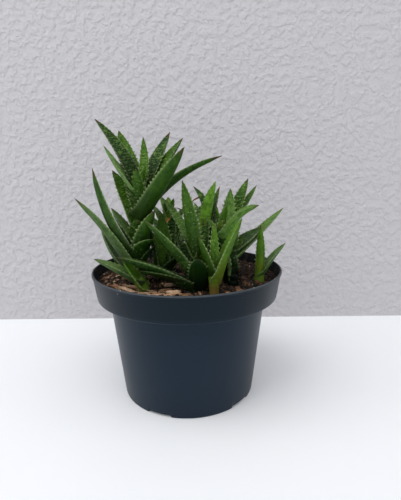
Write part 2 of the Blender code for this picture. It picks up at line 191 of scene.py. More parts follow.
def hidden_leaves(seed, count, lowest, highest, reach, rise, width, first, span):
    """Leaves on the far side of a stem: golden-angle turns folded into its back, upper ones smaller."""
    draw = np.random.default_rng(seed)
    leaves = []
    for index in range(count):
        share = index / (count - 1)
        size = 1.0 - 0.25 * share
        leaves.append((lowest + (highest - lowest) * share, first + (index * GOLDEN_ANGLE) % span,
                       reach * size, rise * size, width * size, 1.5, 0, *draw.uniform(0.2, 0.7, 4)))
    return leaves


SHOOTS = [
    Shoot("shoot_tall", (-29, -20), (-26, -19, 56), 4.8, 3.4, [
        (53, 60, 5.5, 32.3, 7, -3, 0, 0.58, 0.1, 1, 0.1),
        (50.2, 122, 27.3, 40.1, 12, 0.3, 0, 0.42, 0.05, 0.8, 0.2),
        (48.5, 50, 27, 40.5, 11.5, 1, 0, -0.02, 0, 0.8, 0.9),
        (54.5, 150, 31.5, 42, 9.5, 3.4, -8, -0.08, 0, 0.7, 1),
        (45.4, 25, 28.4, 39.5, 12, 1.6, 8, 0.24, 0, 0.7, 0.5),
        (52, -170, 18.4, 28.1, 7.7, -0.2, -15, 0.95, 1, 0.2, 0.2),
        (39.7, -10, 48.7, 34.2, 12, 5.8, 0, 0.2, 0.08, 0.4, 0.9),
        (39.2, -42, 37.9, 38.7, 13.2, 0.1, 0, 0.3, 0.06, 0.12, 0.5),
        (31.9, 148, 18.8, 34.8, 11.5, 1.8, -10, 0.52, 0.1, 0.9, 0.6),
        (21.8, 165, 16.4, 23.1, 10.5, 0.2, 0, 0.56, 0.45, 0.5, 0.3),
        (15.3, -35, 14.3, 29.4, 13, 2, 0, 0.25, 0.05, 0.4, 0.6),
        (13.6, -148, 24, 54.6, 10.6, -4, 0, 0.2, 0.2, 0.12, 0.7),
        (3, -160, 33, 49.1, 13.5, 3.5, 0, 0.42, 0.65, 0.3, 0.6),
        (10.5, -40, 15.2, 18.2, 14, 4.6, 0, 0.05, 0, 0.2, 0.3),
        (2.5, 168, 22, 31.8, 10.4, -2.7, 0, 0.35, 0.1, 0.2, 0.2),
        (44, -95, 3, 23, 9, -1, 0, 0.34, 0.05, 1, 0.2), (22, -85, 6, 17, 11, 2, 0, 0.2, 0, 0.9, 0.3),
        (4, -80, 7, 13, 12, 2, 0, -0.4, 0, 0.3, 0.3), (6, -8, 12, 18, 9, 2, 0, -0.3, 0, 0.4, 0.3),
        (8, 60, 14, 26, 12, 1, 0, -0.3, 0, 0.4, 0.3),
    ] + hidden_leaves(11, 4, 14, 40, 22, 34, 10, 75, 60)),
    Shoot("shoot_front", (7.8, -31.5), (6.5, -31, 19.5), 4.8, 3.4, [
        (18.8, -125, 12.2, 42.7, 9.3, 0.2, 0, 0.42, 0.08, 0.7, 0.2),
        (14, 142, 27, 37.3, 8.2, 3.4, 0, 0.5, 0.25, 1, 0.3),
        (3.8, -165, 29.8, 36.9, 13.8, 2.3, 0, 0.22, 0.12, 0.6, 0.3),
        (-1.2, -168, 45.3, 22.2, 14.5, 2.5, 8, -0.02, 0.1, 0.4, 0.4),
        (1, -164, 35, 12.5, 12.5, 2, 0, -0.35, 0, 0.2, 0.3), (11, 60, 12, 26, 9, 1, 0, 0.1, 0, 0.5, 0.3),
        (6, 40, 10, 17, 8, 2, 0, -0.2, 0, 0.3, 0.3), (5, 140, 16, 22, 11, 1, 0, -0.1, 0, 0.6, 0.3),
    ], [
        (7.6, -35.2, 76.6, -93, 11.5, 20.5, 11.5, 1.5, 0, -0.45, 0, 0.1, 0),
    ]),
    Shoot("shoot_young", (16, -37.5), (16, -37.5, 11), 2.6, 2, [
        (8.7, 95, 0.5, 30.4, 5, 2.6, 0, 0.42, 0, 0.3, 0.2),
        (7, -160, 8.9, 25, 9.2, 0.3, 0, 0.12, 0, 0.2, 0.2, 0.5),
        (5.6, -15, 15.3, 36, 13.5, 1.4, 15, 0.66, 0, 0.1, 0.1, 0.36),
    ]),
    Shoot("shoot_low", (-23.5, -33), (-24.5, -34, 8), 3.2, 2.4, [
        (4, -172, 26.1, 15.3, 10.7, 1.2, 0, 0.34, 0.7, 0.4, 0.4),
        (0.5, -155, 11.5, 18, 10, 0.5, -30, 0.74, 0, 0.2, 0.3),
    ]),
    Shoot("shoot_middle", (10, -3), (11, -2, 34), 4.2, 3.2, [
        (25.5, 135, 9.2, 30.7, 7.5, 7, 0, 0.12, 0, 0.6, 0.9),
        (23.2, 30, 12, 32.6, 8, 0, 0, 0.2, 0, 0.6, 0.9),
        (21, -40, 10, 38.6, 11.8, 2.4, 0, 1.6, 0.1, 1, 0.2),
        (15.7, 15, 7.5, 30.8, 11, -4, 0, 0.45, 0, 0.7, 0.5), (12, -95, 4, 24, 10, 1, 0, 0.12, 0, 0.8, 0.4),
        (12, -170, 12, 28, 10, 1, 0, 0.1, 0, 0.6, 0.3), (7, -35, 13, 20, 10, 2, 0, 0.1, 0, 0.5, 0.3),
    ] + hidden_leaves(23, 3, 8, 24, 18, 28, 9, 80, 80), [
        (9.0, -0.9, 126.0, 190, 6.2, -3.6, 2.2, 0.4, 0, 0.55, 0, 0, 2),
    ]),
    Shoot("shoot_right", (27, -19), (20.5, -19, 34), 4.2, 3.2, [
        (26.7, 60, 9.9, 28.7, 9, -2.9, 0, 0.95, 0.6, 0.3, 0.4),
        (29.9, 35, 27.1, 27, 7.5, -1, 0, 0.5, 0.1, 0.5, 0.3),
        (23.4, 45, 22.2, 37.5, 10.5, 0.8, 0, 0.22, 0, 0.8, 0.4),
        (27.5, -25, 21.8, 19.4, 13, 4.2, 10, 1, 0.45, 0.3, 0.6),
        (12.2, 32, 44, 29.8, 8.8, 0, 0, 0.74, 0.6, 0.4, 0.3),
        (16.6, 28, 25.2, 14.6, 14, 0.3, 0, 0.14, 0.05, 0.4, 0.1),
        (11.9, 25, 10.9, 15, 9, 0, 0, 0.4, 0.1, 0.5, 0.4), (9, 165, 9, 24, 10, 1, 0, 0.12, 0, 0.6, 0.3),
        (4, -110, 5, 19, 10, 1, 0, -0.35, 0, 0.3, 0.3), (1, -80, 5, 14, 10, 2, 0, -0.6, 0, 0.2, 0.3),
    ] + hidden_leaves(31, 2, 12, 20, 20, 24, 9, 70, 70), [
        (25.6, -22.5, 78.0, -92, 2.2, 15.5, 2.4, 0.3, 0, 0.7, 1, 0, 0.3),
    ]),
    Shoot("shoot_pup", (44.5, -14), (45, -14, 8), 3.2, 2.4, [
        (1.5, -85, 0.5, 32.8, 5.6, -2, 0, 0.72, 0, 0.1, 1),
        (2, 5, 15.9, 20.4, 8, 1.2, 0, 0.5, 0.5, 0.1, 0.4),
    ]),
    Shoot("shoot_back", (-12, 6), (-11, 5, 36), 3.8, 3, [
        (33.5, 150, 7, 16, 8, 1, 0, 1.05, 0.25, 0.9, 0.4), (31, 100, 6, 18, 8, 1, 0, 1.05, 0.2, 0.9, 0.4),
        (25, 20, 9.5, 17, 8, 1, 0, 1.05, 0.2, 0.9, 0.4),
        (21.5, -150, 9.5, 19, 8, 1, 0, 1.05, 0.3, 0.9, 0.4),
        (8, -155, 12, 20, 11, 1, 0, -0.1, 0, 0.5, 0.3), (17, -70, 8, 16, 8, 1, 0, 0.66, 0.2, 0.9, 0.4),
    ] + hidden_leaves(41, 3, 8, 26, 20, 26, 9, 20, 140), [
        (-10.6, 3.2, 112.0, -95, 5.5, -4.5, 4.4, 0.8, 0, 1, 0, 0, 2),
        (-3.2, 8.2, 116.3, -146, 6.2, 2.1, 1.4, 0.8, 0, 0, 0, 0, 2),
        (-10.5, 5.5, 98.0, 8, 9, 20, 9.5, 1, 0, 0.4, 0.1, 0.9, 0.3),
    ]),
    Shoot("shoot_rear", (7, 30), (7, 30, 14), 3.6, 2.8, hidden_leaves(53, 6, 3, 12, 14, 22, 9, 0, 360)),
    Shoot("shoot_inner", (-14, -15), (-14, -15, 8), 3.4, 2.4, [
        (2, 100, 3, 39.6, 12, -1, 0, 0.45, 0, 0.2, 0.2), (4, 25, 13, 30, 12, 1.5, 0, 0.1, 0, 0.5, 0.3),
        (5, 55, 12, 35, 12, 1, 0, 0, 0, 0.6, 0.3), (3, -30, 15, 15, 10, 2, 0, -0.4, 0, 0.3, 0.3),
    ], [
        (-15.5, -15.5, 79.0, 175, 5, 28, 9, 0.5, 0, 0.1, 0, 0.5, 0.2),
        (-14.5, -13.0, 78.0, 165, 8, 27, 10, 0.5, 0, -0.3, 0, 0.3, 0.2),
    ]),
]

# Bark chips that show in front: x, y, turn, length, width, thickness and shade
FRONT_CHIPS = [
    (-39.5, -25, -56, 17, 3.6, 1.5, 0.66), (-33, -33, -40, 17, 3.2, 1.4, 0.86),
    (-29, -27.5, -31, 18, 3.4, 1.5, 0.74), (-22.5, -36.5, -15, 15, 3, 1.3, 0.92),
    (-15, -42, -8, 11, 3, 1.3, 0.8), (-36, -36, -44, 9, 2.4, 1.2, 0.95), (-6.5, -40.5, 14, 8, 4.2, 1.5, 1),
    (-11.5, -36, 34, 7, 2.4, 1.2, 0.6), (0.5, -42.5, -4, 6, 2.6, 1.2, 0.7),
    (-25, -41, -22, 9, 2.2, 1.1, 0.7), (30, -34, 26, 3.6, 4.4, 0.7, 0.6),
    (24, -41.5, 14, 3.4, 3.6, 0.7, 0.62), (43, -22, 44, 3.2, 3.6, 0.7, 0.6),
    (35, -14, -15, 5, 3.6, 0.7, 0.5), (-9.5, -27, 10, 6, 3.6, 1.3, 1.15),
]
SPLINTERS = 7
SPLINTER_LEAN = 22.0

# Headings of the pale specks on the rim
RIM_SPECKS = [-127, -125.5, -124, -113, -108, -107, -96, -71, -52, -31, -162, -171, 14, 77]

# Fibres that hang over the rim: x and y of their start, and how far they sway
RIM_FIBRES = np.array([(-59.6, -4, 1.5), (-59.4, -7, -2), (59.3, -9, 2.2), (59.6, -11.5, 1),
                       (58.6, -14, -1.4)])


# What all colour settings and all length settings share
COLOUR = {"subtype": 'COLOR', "size": 3, "min": 0.0, "max": 1.0}
LENGTH = {"subtype": 'DISTANCE', "unit": 'LENGTH'}


class AloePotSettings(bpy.types.PropertyGroup):
    """Colours and wear of the nursery pot."""
    colour: FloatVectorProperty(name="Plastic", description="Colour of the moulded plastic",
                                default=(0.0050, 0.0104, 0.0205), **COLOUR)
    scuffs: FloatProperty(name="Scuffs", description="How much pale rubbing shows on the collar",
                          subtype='FACTOR', min=0.0, max=1.0, default=0.55)


class AloeSoilSettings(bpy.types.PropertyGroup):
    """What the pot is filled with."""
    crumb_size: FloatProperty(name="Crumb size", description="Width of a usual peat crumb",
                              default=1.3 * MM, min=0.1 * MM, **LENGTH)
    crumbs: IntProperty(name="Crumbs", description="Number of loose peat crumbs", default=2600, min=0)
    chips: IntProperty(name="Bark chips", description="Number of small bark chips", default=420, min=0)
    fibres: IntProperty(name="Fibres", description="Number of root and peat fibres", default=130, min=0)
    perlite: IntProperty(name="Perlite", description="Number of white perlite grains", default=46, min=0)
    peat: FloatVectorProperty(name="Peat", description="Colour of damp peat",
                              default=(0.020, 0.0115, 0.007), **COLOUR)


class AloeLeafSettings(bpy.types.PropertyGroup):
    """Form and colours shared by all leaves."""
    tooth_height: FloatProperty(name="Tooth height", description="How far a marginal tooth stands out",
                                default=1.3 * MM, min=0.0, **LENGTH)
    tooth_spacing: FloatProperty(name="Tooth spacing", description="Distance between marginal teeth",
                                 default=2.5 * MM, min=0.5 * MM, **LENGTH)
    bump_radius: FloatProperty(name="Tubercle radius", description="Half width of a raised pale bump",
                               default=0.41 * MM, min=0.1 * MM, **LENGTH)
    # Painted shade: how much darker a grown leaf is painted towards its root
    painted_root_shade: FloatProperty(name="Root shade", description="How much darker a grown leaf is towards its root",
                          default=0.6, min=0.0, max=1.0)
    deep: FloatVectorProperty(name="Deep green", description="Colour of the darkest leaves",
                              default=(0.0065, 0.0390, 0.0012), **COLOUR)
    fresh: FloatVectorProperty(name="Fresh green", description="Colour of the brightest leaves",
                               default=(0.1050, 0.2700, 0.0120), **COLOUR)
    tooth: FloatVectorProperty(name="Teeth", description="Colour of teeth and raised bumps",
                               default=(0.50, 0.62, 0.33), **COLOUR)


class AloeStageSettings(bpy.types.PropertyGroup):
    """Floor, light and camera."""
    floor: FloatVectorProperty(name="Floor", description="Colour of the pale floor",
                               default=(0.86, 0.89, 0.93), **COLOUR)
    backdrop: FloatVectorProperty(name="Backdrop", description="Colour behind the floor",
                                  default=(0.56, 0.55, 0.575), **COLOUR)
    key: FloatProperty(name="Key light", description="Power of the large soft light at the upper left",
                       default=10.3, min=0.0)
    fill: FloatProperty(name="Fill light", description="Strength of the even light from all round",
                        default=1.41, min=0.0)
    lens: FloatProperty(name="Lens", description="Focal length of the camera in millimetres",
                        default=28.08, min=1.0)


# Mesh helpers
def unit(vectors):
    """Each vector divided by its own length."""
    return vectors / np.maximum(np.linalg.norm(vectors, axis=-1, keepdims=True), 1e-9)


def circle(count):
    """Evenly spaced angles round a full turn."""
    return np.linspace(0.0, TURN, count, endpoint=False)


def joined(*parts):
    """Arrays or numbers spread over one another's shapes and stacked as the last axis."""
    return np.stack(np.broadcast_arrays(*parts), -1)


def polar(radius, angle, height):
    """Points (r cos a, r sin a, z)."""
    return joined(radius * np.cos(angle), radius * np.sin(angle), height)


def turned(axis, angle):
    """Matrices that turn by the angles about axis 0, 1 or 2."""
    after, last = (axis + 1) % 3, (axis + 2) % 3
    matrix = np.zeros((len(angle), 3, 3))
    matrix[:, axis, axis] = 1.0
    matrix[:, after, after] = matrix[:, last, last] = np.cos(angle)
    matrix[:, last, after] = np.sin(angle)
    matrix[:, after, last] = -np.sin(angle)
    return matrix


def ring_faces(rows, columns, way=-1, hubs=True):
    """Quads of a grid whose columns close into a ring, and its two ends: fans round two hubs that
    follow the grid's points, or flat discs. The sign of way turns all faces round."""
    index = np.arange(rows * columns).reshape(rows, columns)
    after = np.roll(index, -1, 1)
    quads = np.stack([index[:-1], index[1:], after[1:], after[:-1]], -1).reshape(-1, 4)
    first, last = index[:1], index[-1:]
    if hubs:
        first, last = (joined(after[row], rows * columns + hub, index[row])
                       for hub, row in enumerate((0, -1)))
    return [quads[:, ::way], first[:, ::way], last[:, ::-way]]


def copied(faces, count, points_each):
    """The same faces for each of many equal shapes whose points follow one another."""
    shift = (np.arange(count) * points_each)[:, None, None]
    return [(face + shift).reshape(-1, face.shape[1]) for face in faces]


ATTRIBUTE_KINDS = {1: ('FLOAT', "value"), 3: ('FLOAT_VECTOR', "vector"), 4: ('FLOAT_COLOR', "color")}


class Bundle:
    """Vertex arrays, face arrays and named vertex values that are gathered into one mesh."""

    def __init__(self):
        self.points = []
        self.faces = []
        self.values = {}
        self.count = 0

    def add(self, points, faces, **values):
        """Take points in millimetres, faces numbered from 0, and a value for each point or for all."""
        points = points.reshape(-1, 3)
        self.points.append(points)
        self.faces += [face + self.count for face in faces]
        for name, value in values.items():
            value = np.asarray(value, float)
            full = np.broadcast_to(value, (len(points), *value.shape[1:]))
            self.values.setdefault(name, []).append(full)
        self.count += len(points)

    def add_shell(self, grid, first, last, way=-1, **values):
        """Take a ring grid (rows, columns, 3), closed at its ends round the points first and last."""
        points = np.concatenate([grid.reshape(-1, 3), [first, last]])
        self.add(points, ring_faces(*grid.shape[:2], way), **values)

    def make(self, name, material, smooth=True):
        """One mesh object from everything gathered, shaded smooth or flat."""
        mesh = bpy.data.meshes.new(name)
        faces = [corners for group in self.faces for corners in group.tolist()]
        mesh.from_pydata(np.concatenate(self.points) * MM, [], faces, shade_flat=not smooth)
        for key, parts in self.values.items():
            data = np.concatenate(parts).astype(np.float32)
            kind, field = ATTRIBUTE_KINDS[data[0].size]
            mesh.attributes.new(key, kind, 'POINT').data.foreach_set(field, data.ravel())
        mesh.validate()
        thing = bpy.data.objects.new(name, mesh)
        bpy.context.scene.collection.objects.link(thing)
        mesh.materials.append(material)
        return thing


def dress(thing, slot, *nodes):
    """Seat a piece on the one body and hide the imported solids that it stands in for; its slot is not used.
    """
    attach(thing, "root")
    for node in nodes:
        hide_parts(node)


def lattice(x, y, seed):
    """A repeatable number from 0 to 1 for each whole-number place: the fraction of a large sine."""
    return np.modf(np.abs(np.sin(x * 127.1 + y * 311.7 + seed * 74.7) * 43758.5453))[0]


def smooth_noise(x, y, seed):
    """Value noise from 0 to 1: lattice numbers blended by s = t*t*(3 - 2t) in each direction."""
    left, below = np.floor(x), np.floor(y)
    across, upwards = (share ** 2 * (3.0 - 2.0 * share) for share in (x - left, y - below))
    low, high = (lattice(left, line, seed) * (1 - across) + lattice(left + 1, line, seed) * across
                 for line in (below, below + 1))
    return low * (1 - upwards) + high * upwards


def rough_noise(x, y, seed, octaves):
    """Value noise summed over octaves, each half as large and twice as fine, about 0 to 1."""
    total = sum(smooth_noise(x * 2 ** level, y * 2 ** level, seed + level) / 2 ** level
                for level in range(octaves))
    return total / (2.0 - 2.0 ** (1 - octaves))


# Shader formulas
class Signal:
    """One output of a shader node, so that a pattern can be written as a formula."""

    def __init__(self, socket):
        self.socket = socket

    def node(self, kind, output=0, inputs=None, **settings):
        """One output of a new node in this signal's tree."""
        return add_node(self.socket.id_data, kind, output, inputs, **settings)

    def maths(self, operation, first, second):
        """One arithmetic step on two values."""
        return self.node("ShaderNodeMath", 0, {0: first, 1: second}, operation=operation)

    def __add__(self, other):
        return self.maths('ADD', self, other)

    def __sub__(self, other):
        return self.maths('SUBTRACT', self, other)

    def __rsub__(self, other):
        return self.maths('SUBTRACT', other, self)

    def __mul__(self, other):
        return self.maths('MULTIPLY', self, other)

    def capped(self):
        """The last arithmetic step with its result kept within 0 and 1."""
        self.socket.node.use_clamp = True
        return self

    def fade(self, low, high):
        """0 below low, 1 above high and a smooth step between."""
        return self.node("ShaderNodeMapRange", 0, {"Value": self, "From Min": low, "From Max": high},
                         interpolation_type='SMOOTHSTEP')

    def noise(self, scale, detail=3.0, roughness=0.55):
        """Fractal noise from 0 to 1 at this place."""
        return self.node("ShaderNodeTexNoise", 0, {"Vector": self, "Scale": scale, "Detail": detail,
                                                   "Roughness": roughness})

    def stretched(self, *scale):
        """This place scaled separately in x, y and z."""
        return self.node("ShaderNodeMapping", 0, {"Vector": self, "Scale": scale})

    def parts(self, kind="ShaderNodeSeparateXYZ"):
        """The three parts of a place, or of a colour with that kind of node."""
        return [Signal(socket) for socket in self.node(kind, 0, {0: self}).socket.node.outputs]

    def grouped(self, formula, **values):
        """The mask that a shared group gives at this place. The group is built once from a formula,
        whose name and values it takes."""
        name = formula.__name__
        if name not in bpy.data.node_groups:
            group = bpy.data.node_groups.new(name, 'ShaderNodeTree')
            sockets = [("Mask", 'OUTPUT', 'Float'), ("Vector", 'INPUT', 'Vector')]
            for label, side, kind in sockets + [(key.title(), 'INPUT', 'Float') for key in values]:
                group.interface.new_socket(name=label, in_out=side, socket_type='NodeSocket' + kind)
            given = group.nodes.new("NodeGroupInput").outputs
            mask = formula(Signal(given["Vector"]), **{key: Signal(given[key.title()]) for key in values})
            group.links.new(mask.socket, group.nodes.new("NodeGroupOutput").inputs["Mask"])
        inputs = {"Vector": self, **{key.title(): value for key, value in values.items()}}
        return self.node("ShaderNodeGroup", "Mask", inputs, node_tree=bpy.data.node_groups[name])


def add_node(tree, kind, output=0, inputs=None, **settings):
    """Add a node with its settings, its inputs from numbers, colours or signals, and give one output."""
    node = tree.nodes.new(kind)
    for key, value in settings.items():
        setattr(node, key, value)
    for key, value in (inputs or {}).items():
        if isinstance(value, Signal):
            tree.links.new(value.socket, node.inputs[key])
        else:
            node.inputs[key].default_value = value
    return Signal(node.outputs[output]) if len(node.outputs) else None


def blend(share, *colours):
    """Mix two colours by a share, which the node keeps within 0 and 1."""
    signal = next(item for item in (share, *colours) if isinstance(item, Signal))
    first, second = (colour if isinstance(colour, Signal) else (*colour, 1.0) for colour in colours)
    return signal.node("ShaderNodeMix", 2, {0: share, 6: first, 7: second}, data_type='RGBA')


def layered(shade, *layers):
    """A colour with others laid over it in order, each by its own share."""
    for share, colour in layers:
        shade = blend(share, shade, colour)
    return shade


def dimmed(colour, share, lift=0.0):
    """A colour times a share, with a little light added."""
    return tuple(lift + share * part for part in colour)


def mottle(place, scale, contrast):
    """Soft two-scale blotches: broad noise with finer noise on it, stretched by the contrast."""
    both = place.noise(scale, 2.0) * 0.7 + place.noise(scale * 5.0) * 0.3
    return ((both - 0.5) * contrast + 0.5).capped()


def dust(place, amount, scale):
    """Dust that settles: where the surface looks up, broken by noise, times the amount."""
    facing = place.node("ShaderNodeNewGeometry", "Normal").parts()[2].fade(0.1, 0.9)
    return (facing * place.noise(scale, 5.0, 0.7).fade(0.42, 0.68) * amount).capped()


class Finish:
    """A Principled material; constants are set on the shader's own sockets."""

    def __init__(self, name, **constants):
        self.material = bpy.data.materials.new(name)
        self.material.use_nodes = True
        self.tree = self.material.node_tree
        self.shader = self.tree.nodes["Principled BSDF"]
        for key, value in constants.items():
            self.shader.inputs[key.replace("_", " ")].default_value = value

    def place(self):
        """Object coordinates."""
        return add_node(self.tree, "ShaderNodeTexCoord", "Object")

    def value(self, name, output="Fac"):
        """A value of the mesh's own points, read by name."""
        return add_node(self.tree, "ShaderNodeAttribute", output, attribute_name=name)

    def feed(self, **signals):
        """Link signals to the shader's sockets."""
        for key, signal in signals.items():
            self.tree.links.new(signal.socket, self.shader.inputs[key.replace("_", " ")])

    def bump(self, height, distance, strength=1.0):
        """Feed a height into the shader's normal; distance is in metres."""
        self.feed(Normal=height.node("ShaderNodeBump", 0, {"Height": height, "Distance": distance,
                                                           "Strength": strength}))


# Materials
def pot_material(settings):
    """Dark slate moulded plastic: faint mottling, painted shade on the collar, pale rubbed marks near the
    rim, a paler band on the lip, dust on ledges, and on the wall's inner side, where the distance from the
    axis is small, wet dirty plastic darkened near black by painted shade, with soil smears."""
    finish = Finish("moulded_pot", Specular_IOR_Level=0.26, Specular_Tint=(0.56, 0.81, 1.0, 1.0))
    place = finish.place()
    height = place.parts()[2]
    cloudy = place.grouped(mottle, scale=28.0, contrast=1.6)
    scratch = place.stretched(260.0, 260.0, 620.0).noise(1.0, 4.0, 0.75)
    rubbed = scratch.fade(0.66, 0.74) * height.fade(0.0735, 0.0805) * settings.scuffs
    dusty = place.grouped(dust, amount=0.8, scale=420.0)
    flat = place.node("ShaderNodeVectorMath", 0, {0: place, 1: (1.0, 1.0, 0.0)}, operation='MULTIPLY')
    spread = place.node("ShaderNodeVectorMath", 1, {0: flat}, operation='LENGTH')
    lean = COLLAR_SPREAD / COLLAR_HEIGHT
    wall_middle = (COLLAR_FOOT_RADIUS - 0.5 * WALL - lean * COLLAR_FOOT) * MM
    outside = (spread - height * lean).fade(wall_middle - 0.3 * MM, wall_middle + 0.3 * MM)
    inner = (1.0 - outside) * height.fade(0.0660, 0.0670)
    soiled_and_shaded = blend(place.noise(240.0, 4.0, 0.7).fade(0.50, 0.66), WET_AND_SHADED_WALL, SMEARED_WALL)
    # Painted shade: the collar is darkened towards a quarter of the plastic's colour and the inner wall near
    # black, with soil smears over it; the lip gets a paler band.
    finish.feed(
        Base_Color=layered(
            settings.colour, (cloudy, dimmed(settings.colour, 1.25, 0.003)),
            (height.fade(0.0640, 0.0670) * 0.9, dimmed(settings.colour, 0.25)), (rubbed, RUBBED_PLASTIC),
            (height.fade(0.0798, 0.0806) * 0.35, PALE_LIP), (dusty, DUST), (inner, soiled_and_shaded)),
        Roughness=(cloudy * 0.10 + 0.34 + dusty * 0.4 + inner).capped())
    finish.bump(place.noise(2400.0, 2.0), 0.00004, 0.6)
    return finish.material


def peat_material(settings):
    """Damp peat: dark brown with redder and greyer crumbs, rough, with a fine crumbly bump."""
    finish = Finish("damp_peat", Specular_IOR_Level=0.25, Roughness=0.92)
    place = finish.place()
    finish.feed(Base_Color=layered(
        dimmed(settings.peat, 0.45), (place.grouped(mottle, scale=160.0, contrast=2.2), settings.peat),
        (place.noise(520.0).fade(0.56, 0.70), RUDDY_PEAT),
        (place.noise(900.0, 2.0).fade(0.68, 0.76), PALE_PEAT)))
    finish.bump(place.noise(900.0, 5.0, 0.7), 0.0006)
    return finish.material


def litter_material(name, colours, rough, grain):
    """Loose pieces in the soil: each piece's own shade picks between colours, with lengthwise grain."""
    finish = Finish(name, Specular_IOR_Level=0.3, Roughness=rough)
    picked = add_node(finish.tree, "ShaderNodeValToRGB", 0, {0: finish.value("shade")})
    stops = picked.socket.node.color_ramp.elements
    for index, colour in enumerate(colours):
        share = index / (len(colours) - 1)
        stop = stops[index] if index < 2 else stops.new(share)
        stop.position = share
        stop.color = (*colour, 1.0)
    streaks = finish.value("grain_place", "Vector").noise(grain, 4.0, 0.7)
    finish.feed(Base_Color=blend(streaks.fade(0.40, 0.58), blend(0.6, picked, DARK_GRAIN), picked))
    finish.bump(streaks, 0.0004)
    return finish.material


def leaf_material(name, settings, deep, fresh, root, root_share):
    """Waxy leaf: green by each leaf's tint, grey bloom, pale bands and bumps, dry tip, and painted light: a
    painted highlight along the margins, painted sunlight on leaves of tint above 1, and painted shade on the
    undersides, towards the roots and, near black, on leaves of negative tint.
    """
    finish = Finish(name, Specular_IOR_Level=0.13, Subsurface_Weight=0.04, Subsurface_Scale=0.002)
    place = finish.value("leaf_place", "Vector")
    upper = place.parts()[2]
    along, tint, dry = finish.value("leaf_look", "Color").parts("ShaderNodeSeparateColor")
    bloom = finish.value("leaf_look", "Alpha")
    edge, pale, bumps = (finish.value("leaf_" + key) for key in ("edge", "pale", "bumps"))
    cloudy = place.grouped(mottle, scale=0.13, contrast=1.8)
    streaks = place.stretched(1.6, 0.16, 1.0).noise(1.0)
    flecks = place.stretched(0.45, 0.30, 1.0).noise(1.0, 2.0)
    bands = place.stretched(0.24, 0.85, 1.0).noise(1.0)
    green = tint + (cloudy - 0.5) * 0.45 + (streaks - 0.5) * 0.35
    waxy = bloom * (cloudy * 0.5 + 0.3)
    banded = bands.fade(0.49, 0.60) * bumps * (upper * 0.30 + 0.55)
    hollow = (1.0 - flecks.fade(0.38, 0.55)) * 0.42
    # Painted shade: grown leaves darken towards the root, less so for bright ones
    painted_root_shade = (1.0 - along.fade(0.0, 0.75)) * settings.painted_root_shade * (1.0 - tint.fade(0.35, 0.65))
    # Painted deep shade, near black: from negative tints, plus the painted root shade
    painted_deep_shade = (tint * -1.0).capped() + painted_root_shade
    # Painted shade on the undersides, less for bright leaves
    shaded = (upper * -1.0).fade(-0.2, 0.8) * 0.32 * (1.0 - tint.fade(0.8, 1.0))
    stem = (edge * -1.0).fade(0.2, 0.8)
    rooted = (stem * root_share + 0.2) * (1.0 - along.fade(0.02, 0.24))
    yellowed = tint.fade(0.55, 0.70) * 0.55 * (1.0 - bloom.fade(0.05, 0.3)) * (1.0 - along.fade(0.12, 0.55))
    dried = (along + streaks * 0.05).fade(0.91, 0.985) * dry
    # Painted light in this colour: sunlight on the brightest leaves, highlights along the margins, shade on
    # the undersides and at the roots, and deep shade on the darkest leaves.
    finish.feed(
        Base_Color=layered(
            deep, (green, fresh), (tint.fade(1.0, 1.6), SUNLIT_LEAF), (waxy, WAX), (banded, PALE_BAND),
            (hollow, deep), (shaded, SHADED_LEAF), (rooted, root), (yellowed, YELLOWED_LEAF),
            (edge.fade(0.90, 0.99) * 0.55, LIT_MARGIN), (dried, DRY_TIP),
            (dry.fade(1.2, 1.8), blend(tint, CRISP_DARK, CRISP_PALE)),
            (pale * 0.85, blend(edge.fade(0.5, 0.9), BUMP_GREEN, settings.tooth)), (painted_deep_shade, DEEP_SHADE_LEAF)),
        Roughness=cloudy * 0.16 + 0.34 + bloom * 0.15)
    finish.bump(streaks * 0.35 + banded * 1.4, 0.0005)
    return finish.material


# Pot
def outer_radius(height):
    """Outer radius of the pot's wall, below or on the collar."""
    if height > COLLAR_FOOT:
        return COLLAR_FOOT_RADIUS + COLLAR_SPREAD * (height - COLLAR_FOOT) / COLLAR_HEIGHT
    return FOOT_RADIUS + (BODY_TOP_RADIUS - FOOT_RADIUS) * height / COLLAR_FOOT


def arc(across, height, radius, start, end, count=5):
    """Points on an arc of a half outline round a centre, as radius and height."""
    return [(across + radius * math.cos(angle), height + radius * math.sin(angle))
            for angle in np.radians(np.linspace(start, end, count))]


